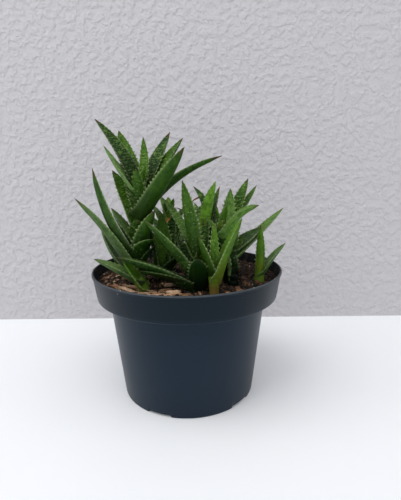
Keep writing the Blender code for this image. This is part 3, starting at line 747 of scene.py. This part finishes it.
def pot_outline():
    """Half outline of the pot, from the inside floor over the rim and down the outer side to the foot."""
    floor_top = FLOOR_RISE + WALL
    foot_ring = FOOT_RADIUS - WALL - 0.2
    neck = outer_radius(COLLAR_FOOT) - WALL
    collar_top = (outer_radius(POT_HEIGHT - 1.8), POT_HEIGHT - 1.8)
    collar_low = (COLLAR_FOOT_RADIUS + 0.1, COLLAR_FOOT + STEP_ROUND + 0.1)
    shoulder = arc(BODY_TOP_RADIUS + SHOULDER_ROUND, COLLAR_FOOT - SHOULDER_ROUND, SHOULDER_ROUND, 90, 180)
    body_foot = (outer_radius(STEP_ROUND), STEP_ROUND)
    return [
        (PAD_RADIUS - WALL, WALL), (PAD_RADIUS + 0.4, floor_top),
        (outer_radius(floor_top) - WALL, floor_top), (neck, COLLAR_FOOT - 0.8),
        (neck + 0.4, COLLAR_FOOT + WALL), (COLLAR_FOOT_RADIUS - WALL, COLLAR_FOOT + WALL),
        *arc(RIM_RADIUS - WALL + 0.1, POT_HEIGHT - INNER_ROUND, INNER_ROUND, 170, 90),
        *arc(RIM_RADIUS - RIM_ROUND, POT_HEIGHT - RIM_ROUND, RIM_ROUND, 90, 0),
        *arc(RIM_RADIUS - BEAD_ROUND, POT_HEIGHT - 1.0 - BEAD_ROUND, BEAD_ROUND, 0, -80, 4),
        *np.linspace(collar_top, collar_low, 8)[:-1],
        *arc(COLLAR_FOOT_RADIUS - STEP_ROUND, COLLAR_FOOT + STEP_ROUND, STEP_ROUND, 0, -90),
        *shoulder, *np.linspace(shoulder[-1], body_foot, 14)[1:-1],
        *arc(FOOT_RADIUS - 0.7, STEP_ROUND, STEP_ROUND, 0, -80),
        (foot_ring, 0.0), (foot_ring, FLOOR_RISE), (PAD_RADIUS + 1.6, FLOOR_RISE), (PAD_RADIUS, 0.0),
    ]


def make_pot_shell(settings):
    """Turn the outline: (r cos a, r sin a, z). Near the foot z is lifted to the notch height in notches."""
    radius, height = np.repeat(np.array(pot_outline()).T[..., None], POT_STEPS, -1)
    angle = circle(POT_STEPS)
    pitch = TURN / NOTCH_COUNT
    aside = (angle - math.radians(NOTCH_FIRST_HEADING) + pitch / 2) % pitch - pitch / 2
    inside = NOTCH_WIDTH / 2 + NOTCH_SLOPE / 2 - np.abs(aside) * FOOT_RADIUS
    notch = np.clip(inside / NOTCH_SLOPE, 0.0, 1.0) * NOTCH_HEIGHT
    at_foot = (radius > FOOT_RADIUS - 2.0) & (height < NOTCH_HEIGHT)
    height = np.where(at_foot, np.maximum(height, notch), height)
    bundle = Bundle()
    bundle.add_shell(polar(radius, angle, height), UP * WALL, UP * 0.0)
    pot = bundle.make("pot_shell", pot_material(settings))
    pot.data.set_sharp_from_angle(angle=math.radians(SHARP_ANGLE))
    drill_pot(pot)
    dress(pot, "pot_plastic", "pot")


def drill_pot(pot):
    """Cut the drain holes through the raised floor with plain cylinders."""
    bundle = Bundle()
    ring = polar(DRAIN_RADIUS, circle(DRAIN_STEPS), 0.0)
    for index in range(NOTCH_COUNT):
        heading = math.radians(NOTCH_FIRST_HEADING + index * 360.0 / NOTCH_COUNT)
        place = polar(DRAIN_PLACE, heading, FLOOR_RISE)
        bundle.add(np.stack([ring + place - DRAIN_REACH, ring + place + DRAIN_REACH]),
                   ring_faces(2, DRAIN_STEPS, hubs=False))
    cutter = bundle.make("drain_cutter", pot.data.materials[0])
    cut = pot.modifiers.new("drain_holes", 'BOOLEAN')
    cut.operation = 'DIFFERENCE'
    cut.object = cutter
    bpy.context.view_layer.update()
    drilled = bpy.data.meshes.new_from_object(pot.evaluated_get(bpy.context.evaluated_depsgraph_get()))
    pot.modifiers.clear()
    pot.data = drilled
    bpy.data.objects.remove(cutter, do_unlink=True)


# Soil
def soil_height(x, y):
    """Top of the soil: a low crown in the middle, 1 mm lumps and finer crumbs, calm at the wall."""
    distance = np.hypot(x, y)
    crown = (SOIL_LEVEL - SOIL_EDGE) * np.clip(1.0 - (distance / BODY_TOP_RADIUS) ** 2, 0.0, 1.0)
    calm = np.clip((57.0 - distance) / 6.0, 0.25, 1.0)
    lumps = LUMP_RISE * (smooth_noise(x / LUMP_WIDTH, y / LUMP_WIDTH, 3.0) - 0.45)
    crumbs = CRUMB_RISE * (rough_noise(x / CRUMB_WIDTH, y / CRUMB_WIDTH, 9.0, 3) - 0.5)
    return SOIL_EDGE + crown + calm * (lumps + crumbs)


def on_soil(x, y, lift):
    """Points that stand off the soil's top by a lift."""
    return joined(x, y, soil_height(x, y) + lift)


def make_soil_bed(settings):
    """Polar grid: radius by rings, height from soil_height, then down the wall and flat underneath."""
    angle = circle(SOIL_STEPS)
    edge = outer_radius(SOIL_EDGE) - SOIL_INSET
    top = polar(edge * (np.arange(1, SOIL_RINGS + 1) / SOIL_RINGS)[:, None], angle, 0.0)
    ledge = COLLAR_FOOT + WALL + 0.3
    side = np.array([(COLLAR_FOOT_RADIUS, ledge), (outer_radius(COLLAR_FOOT), ledge),
                     (outer_radius(SOIL_FOOT), SOIL_FOOT)])
    wall = polar(side[:, :1] - SOIL_INSET, angle, side[:, 1:])
    bundle = Bundle()
    bundle.add_shell(np.concatenate([on_soil(top[..., 0], top[..., 1], 0.0), wall]),
                     UP * soil_height(0.0, 0.0), UP * SOIL_FOOT)
    dress(bundle.make("soil_bed", peat_material(settings)), "peat_and_bark", "soil")


def scatter(draw, count):
    """Places on the soil, even over its disc, without those that fall inside a stem."""
    distance = LITTER_RADIUS * np.sqrt(draw.random(count * 2))
    heading = draw.uniform(0.0, TURN, count * 2)
    x, y, _ = polar(distance, heading, 0.0).T
    clear = np.ones(len(x), bool)
    for shoot in SHOOTS:
        clear &= np.hypot(x - shoot.foot[0], y - shoot.foot[1]) > shoot.stem_radius + STEM_CLEARANCE
    return x[clear][:count], y[clear][:count]


def painted_light_share(x, y):
    """Painted light on the loose pieces: 1 at the left front, falling evenly to the right and back into
    painted shade.
    """
    return np.clip(0.55 - y / 60.0 - x / 75.0, 0.3, 1.0)


def spins(draw, count, tip):
    """Random turn matrices: a full turn about Z after small tips about X and Y."""
    turn = draw.uniform(0.0, TURN, count)
    roll = draw.uniform(-tip, tip, count)
    nod = draw.uniform(-tip, tip, count)
    return turned(2, turn) @ turned(1, nod) @ turned(0, roll)


def pebbles(places, sizes, turns, draw, rows, columns, boxy=1.0, jitter=0.18):
    """Closed lumps: a ball's latitude grid, each coordinate raised to the power boxy, shaken and sized.
    Gives their points, their faces and the place that their grain is read from."""
    count = len(places)
    latitude = np.linspace(-0.5, 0.5, rows + 2)[1:-1, None] * math.pi
    ball = polar(np.cos(latitude), circle(columns), np.sin(latitude)).reshape(-1, 3)
    ball = np.concatenate([ball, [-UP, UP]])
    ball = np.sign(ball) * np.abs(ball) ** boxy
    local = ball * (1.0 + draw.uniform(-jitter, jitter, (count, len(ball), 3))) * sizes[:, None] * 0.5
    points = np.einsum('nij,nkj->nki', turns, local) + places[:, None]
    grain = (local * np.array([0.16, 1.0, 1.0]) + draw.uniform(0.0, 90.0, (count, 1, 3))).reshape(-1, 3)
    return points, copied(ring_faces(rows, columns), count, len(ball)), grain


def litter_piece(name, material, *batches, smooth=True):
    """A piece of loose shapes: each batch holds their points, faces and grain, and a shade for each."""
    bundle = Bundle()
    for (points, faces, grain), shade in batches:
        bundle.add(points, faces, shade=np.repeat(shade, points.shape[1]), grain_place=grain)
    dress(bundle.make(name, material, smooth), "peat_and_bark")


def make_crumbs(settings):
    """Thousands of small dark lumps, sunk by a third into the soil."""
    draw = np.random.default_rng(21)
    x, y = scatter(draw, settings.crumbs)
    size = settings.crumb_size / MM * draw.lognormal(0.0, 0.42, len(x))
    sizes = size[:, None] * draw.uniform(0.6, 1.25, (len(x), 3))
    lumps = pebbles(on_soil(x, y, 0.12 * size), sizes, spins(draw, len(x), 1.5), draw, 2, 5)
    colours = [dimmed(settings.peat, 0.4), dimmed(settings.peat, 1.2), (0.12, 0.055, 0.025),
               (0.42, 0.26, 0.15)]
    # Crumb shades darken towards the back right by painted shade
    litter_piece("peat_crumbs", litter_material("peat_crumb", colours, 0.93, 1.6),
                 (lumps, draw.random(len(x)) ** 1.9 * painted_light_share(x, y)))


def make_bark(settings):
    """Flat chips of bark: long pale ones at listed places, each split into splinters that lie side by side,
    and many small ones by a seeded draw."""
    draw = np.random.default_rng(8)
    x, y, heading, length, width, thickness, shade = np.repeat(np.array(FRONT_CHIPS), SPLINTERS, 0).T
    count = len(x)
    aside = (np.tile(np.arange(SPLINTERS), len(FRONT_CHIPS)) - 0.5 * (SPLINTERS - 1)) * width / SPLINTERS
    x = x - aside * np.sin(np.radians(heading))
    y = y + aside * np.cos(np.radians(heading))
    heading = np.radians(heading + draw.uniform(-14.0, 14.0, count))
    sizes = np.stack([length * draw.uniform(0.5, 1.15, count), width * draw.uniform(0.16, 0.34, count),
                      thickness * draw.uniform(0.7, 1.0, count)], -1)
    # Splinter shades darken towards the back right by painted shade
    shade = shade * (draw.uniform(0.7, 1.4, count) * painted_light_share(x, y))
    chip_x, chip_y = scatter(draw, settings.chips)
    size = draw.lognormal(0.85, 0.42, len(chip_x))
    chip_sizes = np.stack([size, size * draw.uniform(0.22, 0.5, len(size)),
                           size * draw.uniform(0.12, 0.26, len(size))], -1)
    turns = spins(draw, len(size), 0.45)
    # Chip shades darken towards the back right by painted shade
    chip_shade = draw.random(len(size)) ** 1.5 * painted_light_share(chip_x, chip_y)
    chips = pebbles(on_soil(chip_x, chip_y, 0.25), chip_sizes, turns, draw, 4, 8, boxy=0.55)
    leaned = turned(2, heading) @ turned(0, np.full(count, np.radians(SPLINTER_LEAN)))
    splinters = pebbles(on_soil(x, y, draw.uniform(0.4, 1.6, count)), sizes, leaned, draw, 6, 14,
                        boxy=0.55, jitter=0.22)
    colours = [(0.040, 0.019, 0.010), (0.12, 0.052, 0.025), (0.25, 0.125, 0.060), (0.46, 0.27, 0.155),
               (0.80, 0.56, 0.37)]
    litter_piece("bark_chips", litter_material("bark", colours, 0.8, 2.0), (chips, chip_shade),
                 (splinters, shade), smooth=False)


def make_perlite(settings):
    """White perlite grains sunk into the soil by a third, and a few specks on the rim of the pot."""
    draw = np.random.default_rng(14)
    x, y = scatter(draw, settings.perlite)
    size = draw.uniform(0.5, 1.25, len(x))
    sizes = size[:, None] * draw.uniform(0.75, 1.2, (len(x), 3))
    heading = np.radians(RIM_SPECKS)
    speck = draw.uniform(0.3, 0.6, len(heading))
    rim = RIM_RADIUS - 0.5 * WALL + draw.uniform(-0.3, 0.5, len(heading))
    places = np.concatenate([on_soil(x, y, 0.35 * size), polar(rim, heading, POT_HEIGHT + 0.2 * speck)])
    sizes = np.concatenate([sizes, np.tile(speck[:, None], 3)])
    count = len(places)
    lumps = pebbles(places, sizes, spins(draw, count, 1.5), draw, 3, 6)
    material = litter_material("perlite", [(0.40, 0.38, 0.34), (0.70, 0.68, 0.63)], 0.85, 1.2)
    litter_piece("perlite_grains", material, (lumps, draw.random(count)))


def tubes(paths, radius):
    """Closed tubes round paths (n, k, 3): a ring of a few points in the plane across each path.
    Gives their points, their faces and the place that their grain is read from."""
    count, length, _ = paths.shape
    direction = unit(np.gradient(paths, axis=1))
    across = unit(np.cross(direction, UP + 0.01))
    above = np.cross(across, direction)
    angle = circle(FIBRE_SIDES)[:, None]
    width = radius[:, None, None, None] * np.linspace(1.0, 0.4, length)[:, None, None]
    rings = paths[:, :, None] + width * (across[:, :, None] * np.cos(angle)
                                         + above[:, :, None] * np.sin(angle))
    faces = copied(ring_faces(length, FIBRE_SIDES, 1, hubs=False), count, length * FIBRE_SIDES)
    return rings.reshape(count, -1, 3), faces, rings.reshape(-1, 3)


def make_fibres(settings):
    """Thin peat and root fibres: low arcs over the soil, and a few that hang over the rim."""
    draw = np.random.default_rng(33)
    x, y = scatter(draw, settings.fibres)
    count = len(x)
    heading = draw.uniform(0.0, TURN, count)
    length = draw.uniform(3.0, 10.0, count)[:, None]
    share = np.linspace(-0.5, 0.5, 8)
    along = heading[:, None] + draw.uniform(-0.8, 0.8, count)[:, None] * share
    path = joined(x[:, None] + length * share * np.cos(along), y[:, None] + length * share * np.sin(along))
    distance = np.maximum(np.hypot(path[..., 0], path[..., 1]), 1e-6)
    path = path * np.clip(LITTER_RADIUS / distance, 0.0, 1.0)[..., None]
    arch = draw.uniform(0.2, 1.6, count)[:, None] * (1.0 - 4.0 * share ** 2)
    lying = tubes(on_soil(path[..., 0], path[..., 1], 0.2 + arch), draw.uniform(0.07, 0.16, count))
    shade = draw.random(count)
    start_x, start_y, sway = RIM_FIBRES.T[..., None]
    share = np.linspace(0.0, 1.0, 8)
    rise = POT_HEIGHT - 0.9 + 2.2 * np.sin(share * 2.6) - 0.8 * share
    over = joined(start_x + np.sign(start_x) * (3.6 * share - 2.5), start_y + sway * share ** 2, rise)
    hanging = tubes(over, np.full(len(over), 0.12))
    colours = [(0.050, 0.026, 0.014), (0.20, 0.11, 0.055), (0.42, 0.30, 0.18)]
    litter_piece("root_fibres", litter_material("fibre", colours, 0.85, 0.6), (lying, shade),
                 (hanging, np.full(len(over), 0.1)))


# Leaves
def leaf_frame(root, leaf, along):
    """Parabola root(1-t)^2 + 2 control t(1-t) + tip t^2, with its direction, across and face vectors."""
    tip = root + polar(leaf.reach, math.radians(leaf.heading), leaf.rise)
    across = unit(np.cross(UP, tip - root))
    lift = np.cross(unit(tip - root), across)
    control = (root + tip) * 0.5 + lift * (2.0 * leaf.bow)
    share = along[..., None]
    point = root * (1.0 - share) ** 2 + control * (2.0 * share * (1.0 - share)) + tip * share ** 2
    direction = unit((control - root) * (1.0 - share) + (tip - control) * share)
    roll = math.radians(leaf.roll)
    rolled = across * math.cos(roll) + np.cross(direction, across) * math.sin(roll)
    return point, direction, rolled, np.cross(direction, rolled)


def half_width(leaf, along):
    """Half the leaf's width: a narrower root that swells by a quarter sine, then 1 - t^3.8 to the tip."""
    swollen = np.minimum(1.0, along / (ROOT_STRETCH * (1.02 - leaf.base)))
    swell = leaf.base + (1.0 - leaf.base) * np.sin(0.25 * TURN * swollen)
    return 0.5 * leaf.width * swell * (1.0 - along ** TAPER_POWER)


def leaf_points(root, leaf, along, turn):
    """Leaf surface at a share along it and a turn round it: 0 is the left margin, 0.25 the middle of
    the upper face, 0.5 the right margin. Upper lift is a parabola across, lower lift a rounded keel,
    and near the root the margins rise round the stem."""
    centre, _, across, face = leaf_frame(root, leaf, along)
    side = -np.cos(TURN * turn)
    upper = np.sin(TURN * turn) >= 0.0
    half = half_width(leaf, along)
    ending = np.minimum(1.0, (1.0 - along) / TIP_STRETCH) ** 0.6
    fullness = TIP_THICKNESS + (1.0 - TIP_THICKNESS) * (1.0 - along ** 2)
    thickness = LEAF_THICKNESS * leaf.width * fullness * ending
    above = CHANNEL_LIFT + (MARGIN_LIFT - CHANNEL_LIFT) * side ** 2
    below = MARGIN_LIFT - (MARGIN_LIFT + KEEL_DROP) * (1.0 - side ** 2) ** KEEL_POWER
    clasp = CLASP_LIFT * half * side ** 2 * np.clip(1.0 - along / CLASP_STRETCH, 0.0, 1.0) ** 2
    lift = np.where(upper, above, below) * thickness + clasp
    return centre + across * (side * half)[..., None] + face * lift[..., None]


def add_leaf(bundle, root, leaf, settings, draw):
    """Grid of leaf_points, six rows to a tooth, whose margin columns stand out as forward teeth."""
    length = math.hypot(leaf.reach, leaf.rise)
    per_tooth = len(TOOTH_ROWS)
    teeth = max(4, round(length / (settings.tooth_spacing / MM)))
    rows = teeth * per_tooth
    along_rows = np.arange(rows) / rows
    along, turn = np.meshgrid(along_rows, np.arange(LEAF_COLUMNS) / LEAF_COLUMNS, indexing='ij')
    points = leaf_points(root, leaf, along, turn)
    _, direction, across, _ = leaf_frame(root, leaf, along_rows)
    fading = np.clip(along_rows / 0.06, 0.0, 1.0) * np.clip((1.0 - along_rows) / 0.35, 0.12, 1.0) ** 0.7
    pale = np.zeros((rows, LEAF_COLUMNS))
    for column, sign, shift in ((0, -1.0, 0), (LEAF_COLUMNS // 2, 1.0, per_tooth // 2)):
        number, beat = np.divmod(np.arange(rows) + shift, per_tooth)
        stand = TOOTH_ROWS[beat] * draw.uniform(0.5, 1.25, teeth + 1)[number] * fading
        reach = stand * min(1.0, leaf.width / GROWN_WIDTH) * settings.tooth_height / MM
        points[:, column] += (across * sign + direction * TOOTH_LEAN) * reach[:, None]
        pale[:, column] = np.minimum(1.0, 1.5 * stand)
        pale[:, [column - 1, column + 1]] = 0.12 * stand[:, None]
    side = -np.cos(TURN * turn)
    offset = draw.uniform(0.0, 300.0)
    at_ends = [0.0, 0.0]
    shares = np.append(along, [0.0, 1.0])
    place = joined(np.append(side * half_width(leaf, along), at_ends) + offset, shares * length,
                   np.append(np.sin(TURN * turn), at_ends))
    bundle.add_shell(points, root, leaf_frame(root, leaf, np.ones(()))[0], 1, leaf_place=place,
                     leaf_look=joined(shares, leaf.tint, leaf.dry, leaf.bloom), leaf_bumps=leaf.bumps,
                     leaf_edge=np.append(np.abs(side), at_ends), leaf_pale=np.append(pale, at_ends))
    if leaf.bumps > 0.15:
        add_tubercles(bundle, root, leaf, length, settings, draw)


def add_tubercles(bundle, root, leaf, length, settings, draw):
    """Low domes in rows across the leaf: a hexagon at the surface, a smaller one above and an apex."""
    radius = settings.bump_radius / MM
    bands = max(3, int(length / (radius * 4.2)))
    along, side = np.meshgrid((np.arange(bands) + 0.5) / bands, np.linspace(-0.85, 0.85, 10), indexing='ij')
    along = (along + draw.normal(0.0, 0.006, along.shape)).ravel()
    side = (side + draw.normal(0.0, 0.07, side.shape)).ravel()
    upper = draw.random(len(side)) < 0.7
    spaced = half_width(leaf, along) / (leaf.width * 0.5)
    inside = (along > 0.08) & (along < 0.93) & (np.abs(side) < 0.9)
    kept = (draw.random(len(side)) < leaf.bumps * spaced) & inside
    along, side, upper = along[kept], side[kept], upper[kept]
    count = len(along)
    if not count:
        return
    turn = np.arccos(-side) / TURN
    turn = np.where(upper, turn, 1.0 - turn)
    step = 0.002
    here = leaf_points(root, leaf, along, turn)
    ahead = unit(leaf_points(root, leaf, along + step, turn) - here)
    beside = unit(leaf_points(root, leaf, along, turn + step) - here)
    normal = unit(np.cross(ahead, beside))
    here, ahead, beside, normal = (part[:, None] for part in (here, ahead, beside, normal))
    size = radius * draw.uniform(0.6, 1.25, count) * (0.55 + 0.45 * (1.0 - along))
    wide = size[:, None, None]
    angle = circle(DOME_SIDES)[:, None]
    flat = ahead * (0.8 * np.cos(angle)) + beside * (1.6 * np.sin(angle))
    points = np.concatenate([here + flat * wide - normal * 0.12,
                             here + flat * (0.62 * wide) + normal * (0.38 * wide),
                             here + normal * (0.52 * wide)], 1)
    ring = np.arange(DOME_SIDES)
    after = np.roll(ring, -1)
    dome = [joined(ring, after, after + DOME_SIDES, ring + DOME_SIDES),
            joined(ring + DOME_SIDES, after + DOME_SIDES, DOME_POINTS - 1), ring[None, ::-1]]
    pale = np.tile(np.repeat([0.15, 0.8], [DOME_SIDES, DOME_SIDES + 1]), count) * (0.6 + 0.4 * leaf.bumps)
    place = joined(side * 5.0, along * length, 1.0)
    look = joined(along, leaf.tint, leaf.dry, leaf.bloom)
    bundle.add(points, copied(dome, count, DOME_POINTS), leaf_place=np.repeat(place, DOME_POINTS, 0),
               leaf_look=np.repeat(look, DOME_POINTS, 0), leaf_edge=0.0, leaf_pale=pale, leaf_bumps=0.0)


def stem_point(shoot, height):
    """Point on a shoot's stem: straight from foot to crown, and upright below the soil."""
    foot, crown = (np.array([*place[:2], 0.0]) for place in (shoot.foot, shoot.crown))
    height = np.asarray(height, float)[..., None]
    return foot + (crown - foot) * np.clip(height / shoot.crown[2], 0.0, 1.0) + UP * (SOIL_LEVEL + height)


def add_stem(bundle, shoot):
    """Stem wrapped in old leaf bases: radius plus a saw wave that winds up the stem, domed at the crown.
    A slender stem is smoother and paler, and the most slender one widens upwards into its leaf bases."""
    top = shoot.crown[2]
    height = np.linspace(-STEM_DEPTH + 1.0, top, STEM_ROWS)
    angle = circle(STEM_COLUMNS)
    climbed = np.clip(height / top, 0.0, 1.0)
    fresh = shoot.stem_radius < FRESH_RADIUS
    flare = 0.8 if shoot.stem_radius < FLARED_RADIUS else 0.0
    slender = shoot.stem_radius + (shoot.tip_radius - shoot.stem_radius) * climbed
    slender = slender * (1.0 + flare * climbed ** 1.5)
    dome = np.sqrt(np.clip((top - height) / shoot.tip_radius, 0.0, 1.0)) * 0.85 + 0.15
    saw = (height[:, None] / BASE_PITCH + angle / TURN) % 1.0
    radius = (slender * dome)[:, None] * (1.0 + (0.03 if fresh else 0.12) * saw)
    centre = stem_point(shoot, height)
    points = centre[:, None] + polar(radius, angle, 0.0)
    hubs = (centre[0], centre[-1] + UP * 0.5)
    level = np.append(points[..., 2], [hub[2] for hub in hubs])
    share = np.clip((level - SOIL_LEVEL) / 30.0, 0.0, 1.0)
    # A thicker stem gets painted shade: its tint is -0.7, near black, at the soil and rises upwards
    rooted, tint = (0.8 * share, 0.62) if fresh else (0.12 + 0.2 * share, share - 0.7)
    bundle.add_shell(points, *hubs, leaf_place=joined(STEM_PLACE, level, 0.0),
                     leaf_look=joined(rooted, tint, 0.0, 0.0), leaf_edge=-1.0, leaf_pale=0.0, leaf_bumps=0.0)


def crown_leaves(shoot, draw):
    """Three small young leaves that close the middle of a rosette; a low shoot has none."""
    if shoot.crown[2] <= 10:
        return []
    start = draw.uniform(0.0, 120.0)
    return [(shoot.crown[2] - 2.0, start + 120.0 * index, 2.5 + index, 10.0 + 2.5 * index,
             1.9 * shoot.tip_radius, 0.5, 0.0, 0.7, 0.1, 0.5, 0.1) for index in range(3)]


def make_shoot(shoot, number, settings, materials):
    """One shoot: its stem, its leaves with teeth and tubercles, its crown leaves and its small leaves."""
    draw = np.random.default_rng(100 + number)
    bundle = Bundle()
    add_stem(bundle, shoot)
    for row in shoot.leaves + crown_leaves(shoot, draw):
        add_leaf(bundle, stem_point(shoot, row[0]), Leaf(*row), settings, draw)
    for row in shoot.small:
        add_leaf(bundle, np.array(row[:3]), Leaf(*row[2:]), settings, draw)
    young = shoot.name == "shoot_young"
    piece = bundle.make(shoot.name + "_leaves", materials["young" if young else "grown"])
    dress(piece, "leaf_young_green" if young else "leaf_green", shoot.name)


# Stage
def hang(name, data, right, upwards, back, place):
    """A lamp or camera at a place in millimetres, which looks against its back vector."""
    thing = bpy.data.objects.new(name, data)
    bpy.context.scene.collection.objects.link(thing)
    matrix = np.eye(4)
    matrix[:3] = np.stack([right, upwards, back, np.array(place) * MM], -1)
    thing.matrix_world = Matrix(matrix.tolist())
    return thing


def make_camera(settings):
    """Camera that looks along +Y, tipped down by the pitch and turned by the roll."""
    camera = bpy.data.cameras.new("camera")
    camera.lens = settings.lens
    camera.clip_start = 0.01
    pitch, roll = math.radians(CAMERA_PITCH), math.radians(CAMERA_ROLL)
    right = np.array([1.0, 0.0, 0.0])
    upwards = np.array([0.0, math.sin(pitch), math.cos(pitch)])
    bpy.context.scene.camera = hang(
        "camera", camera, right * math.cos(roll) + upwards * math.sin(roll),
        upwards * math.cos(roll) - right * math.sin(roll), np.cross(right, upwards), CAMERA_PLACE)


def make_lamp(settings):
    """One large square soft light at the upper left."""
    lamp = bpy.data.lights.new("key_light", 'AREA')
    lamp.size = LAMP_SIZE * MM
    lamp.energy = settings.key
    lamp.color = LAMP_COLOUR
    back = unit(np.subtract(LAMP_PLACE, LAMP_TARGET))
    right = unit(np.cross(UP, back))
    hang("key_light", lamp, right, np.cross(back, right), back, LAMP_PLACE)


def floor_material(settings):
    """Pale matte table top."""
    finish = Finish("pale_floor", Roughness=0.5, Specular_IOR_Level=0.3)
    mask = finish.place().grouped(mottle, scale=9.0, contrast=0.8)
    finish.feed(Base_Color=blend(mask, dimmed(settings.floor, 0.97), settings.floor))
    return finish.material


def backdrop_material(settings):
    """Rough grey plaster seen from the front only; from behind it is clear, so it hides nothing."""
    finish = Finish("plaster", Roughness=0.8, Specular_IOR_Level=0.2, Base_Color=(*settings.backdrop, 1.0))
    finish.bump(finish.place().noise(175.0, 3.0, 0.5).fade(0.38, 0.66), 0.0014, 0.6)
    behind = add_node(finish.tree, "ShaderNodeNewGeometry", "Backfacing")
    clear = add_node(finish.tree, "ShaderNodeBsdfTransparent")
    mix = behind.node("ShaderNodeMixShader", 0, {0: behind, 1: Signal(finish.shader.outputs[0]), 2: clear})
    finish.tree.links.new(mix.socket, finish.tree.nodes["Material Output"].inputs["Surface"])
    return finish.material


def make_floor(settings):
    """A wide flat floor and a plain wall behind it."""
    reach = STAGE_REACH
    flat = [(-reach, -reach, 0.0), (reach, -reach, 0.0), (reach, reach, 0.0), (-reach, reach, 0.0)]
    wall = [(-reach, TABLE_BACK, -1.0), (reach, TABLE_BACK, -1.0), (reach, TABLE_BACK, reach),
            (-reach, TABLE_BACK, reach)]
    for name, points, material in (("floor", flat, floor_material), ("backdrop", wall, backdrop_material)):
        bundle = Bundle()
        bundle.add(np.array(points), [np.array([[0, 1, 2, 3]])])
        bundle.make(name, material(settings))


def make_world(settings):
    """Soft light from all round, brighter overhead; the camera sees the plain backdrop grey instead."""
    world = bpy.data.worlds.new("studio")
    bpy.context.scene.world = world
    world.use_nodes = True
    tree = world.node_tree
    tree.nodes.clear()
    height = add_node(tree, "ShaderNodeTexCoord", "Generated").parts()[2]
    level = blend(height.fade(-0.05, 0.85), (0.22, 0.235, 0.255), (1.06, 1.04, 1.02))
    light = add_node(tree, "ShaderNodeBackground", 0, {"Color": level, "Strength": settings.fill})
    seen = add_node(tree, "ShaderNodeBackground", 0, {"Color": (*settings.backdrop, 1.0)})
    camera_ray = add_node(tree, "ShaderNodeLightPath", "Is Camera Ray")
    mix = add_node(tree, "ShaderNodeMixShader", 0, {0: camera_ray, 1: light, 2: seen})
    add_node(tree, "ShaderNodeOutputWorld", 0, {0: mix})


# Operators
class ALOE_OT_make_pot(bpy.types.Operator):
    """Build the nursery pot with its collar, lip, notches and drain holes"""
    bl_idname = "aloe.make_pot"
    bl_label = "Make the pot"

    def execute(self, context):
        make_pot_shell(context.scene.aloe_pot)
        return {'FINISHED'}


class ALOE_OT_make_soil(bpy.types.Operator):
    """Build the peat bed and the crumbs, bark, perlite and fibres in it"""
    bl_idname = "aloe.make_soil"
    bl_label = "Make the soil"

    def execute(self, context):
        for make in (make_soil_bed, make_crumbs, make_bark, make_perlite, make_fibres):
            make(context.scene.aloe_soil)
        return {'FINISHED'}


class ALOE_OT_make_shoots(bpy.types.Operator):
    """Build every leafy shoot with its teeth and tubercles"""
    bl_idname = "aloe.make_shoots"
    bl_label = "Make the shoots"

    def execute(self, context):
        settings = context.scene.aloe_leaf
        materials = {
            "grown": leaf_material("waxy_leaf", settings, settings.deep, settings.fresh,
                                   (0.075, 0.125, 0.035), 0.2),
            "young": leaf_material("young_leaf", settings, (0.020, 0.062, 0.003), (0.130, 0.300, 0.018),
                                   (0.120, 0.060, 0.021), 0.8),
        }
        for number, shoot in enumerate(SHOOTS):
            make_shoot(shoot, number, settings, materials)
        return {'FINISHED'}


class ALOE_OT_make_stage(bpy.types.Operator):
    """Lay the floor, hang the lights and set the camera"""
    bl_idname = "aloe.make_stage"
    bl_label = "Make the stage"

    def execute(self, context):
        context.scene.view_settings.view_transform = 'Standard'
        for make in (make_floor, make_world, make_lamp, make_camera):
            make(context.scene.aloe_stage)
        return {'FINISHED'}


class ALOE_PT_panel(bpy.types.Panel):
    """Sidebar panel with the settings and the operators"""
    bl_idname = "ALOE_PT_panel"
    bl_label = "Potted aloe"
    bl_space_type = 'VIEW_3D'
    bl_region_type = 'UI'
    bl_category = "Potted aloe"

    def draw(self, context):
        for holder, (_, operator) in SETTINGS.items():
            settings = getattr(context.scene, holder)
            box = self.layout.box()
            for key in settings.bl_rna.properties.keys():
                if key not in {"rna_type", "name"}:
                    box.prop(settings, key)
            box.operator(operator.bl_idname)


SETTINGS = {
    "aloe_pot": (AloePotSettings, ALOE_OT_make_pot),
    "aloe_soil": (AloeSoilSettings, ALOE_OT_make_soil),
    "aloe_leaf": (AloeLeafSettings, ALOE_OT_make_shoots),
    "aloe_stage": (AloeStageSettings, ALOE_OT_make_stage),
}
CLASSES = [kind for pair in SETTINGS.values() for kind in pair] + [ALOE_PT_panel]


def register():
    """Register the classes and hang the settings on the scene."""
    for item in CLASSES:
        bpy.utils.register_class(item)
    for name, (kind, _) in SETTINGS.items():
        setattr(bpy.types.Scene, name, PointerProperty(type=kind))


def unregister():
    """Take the settings and the classes away again."""
    for name in SETTINGS:
        delattr(bpy.types.Scene, name)
    for item in reversed(CLASSES):
        bpy.utils.unregister_class(item)


def main():
    register()
    bpy.ops.aloe.make_stage()
    bpy.ops.aloe.make_pot()
    bpy.ops.aloe.make_soil()
    bpy.ops.aloe.make_shoots()


if __name__ == "__main__":
    main()
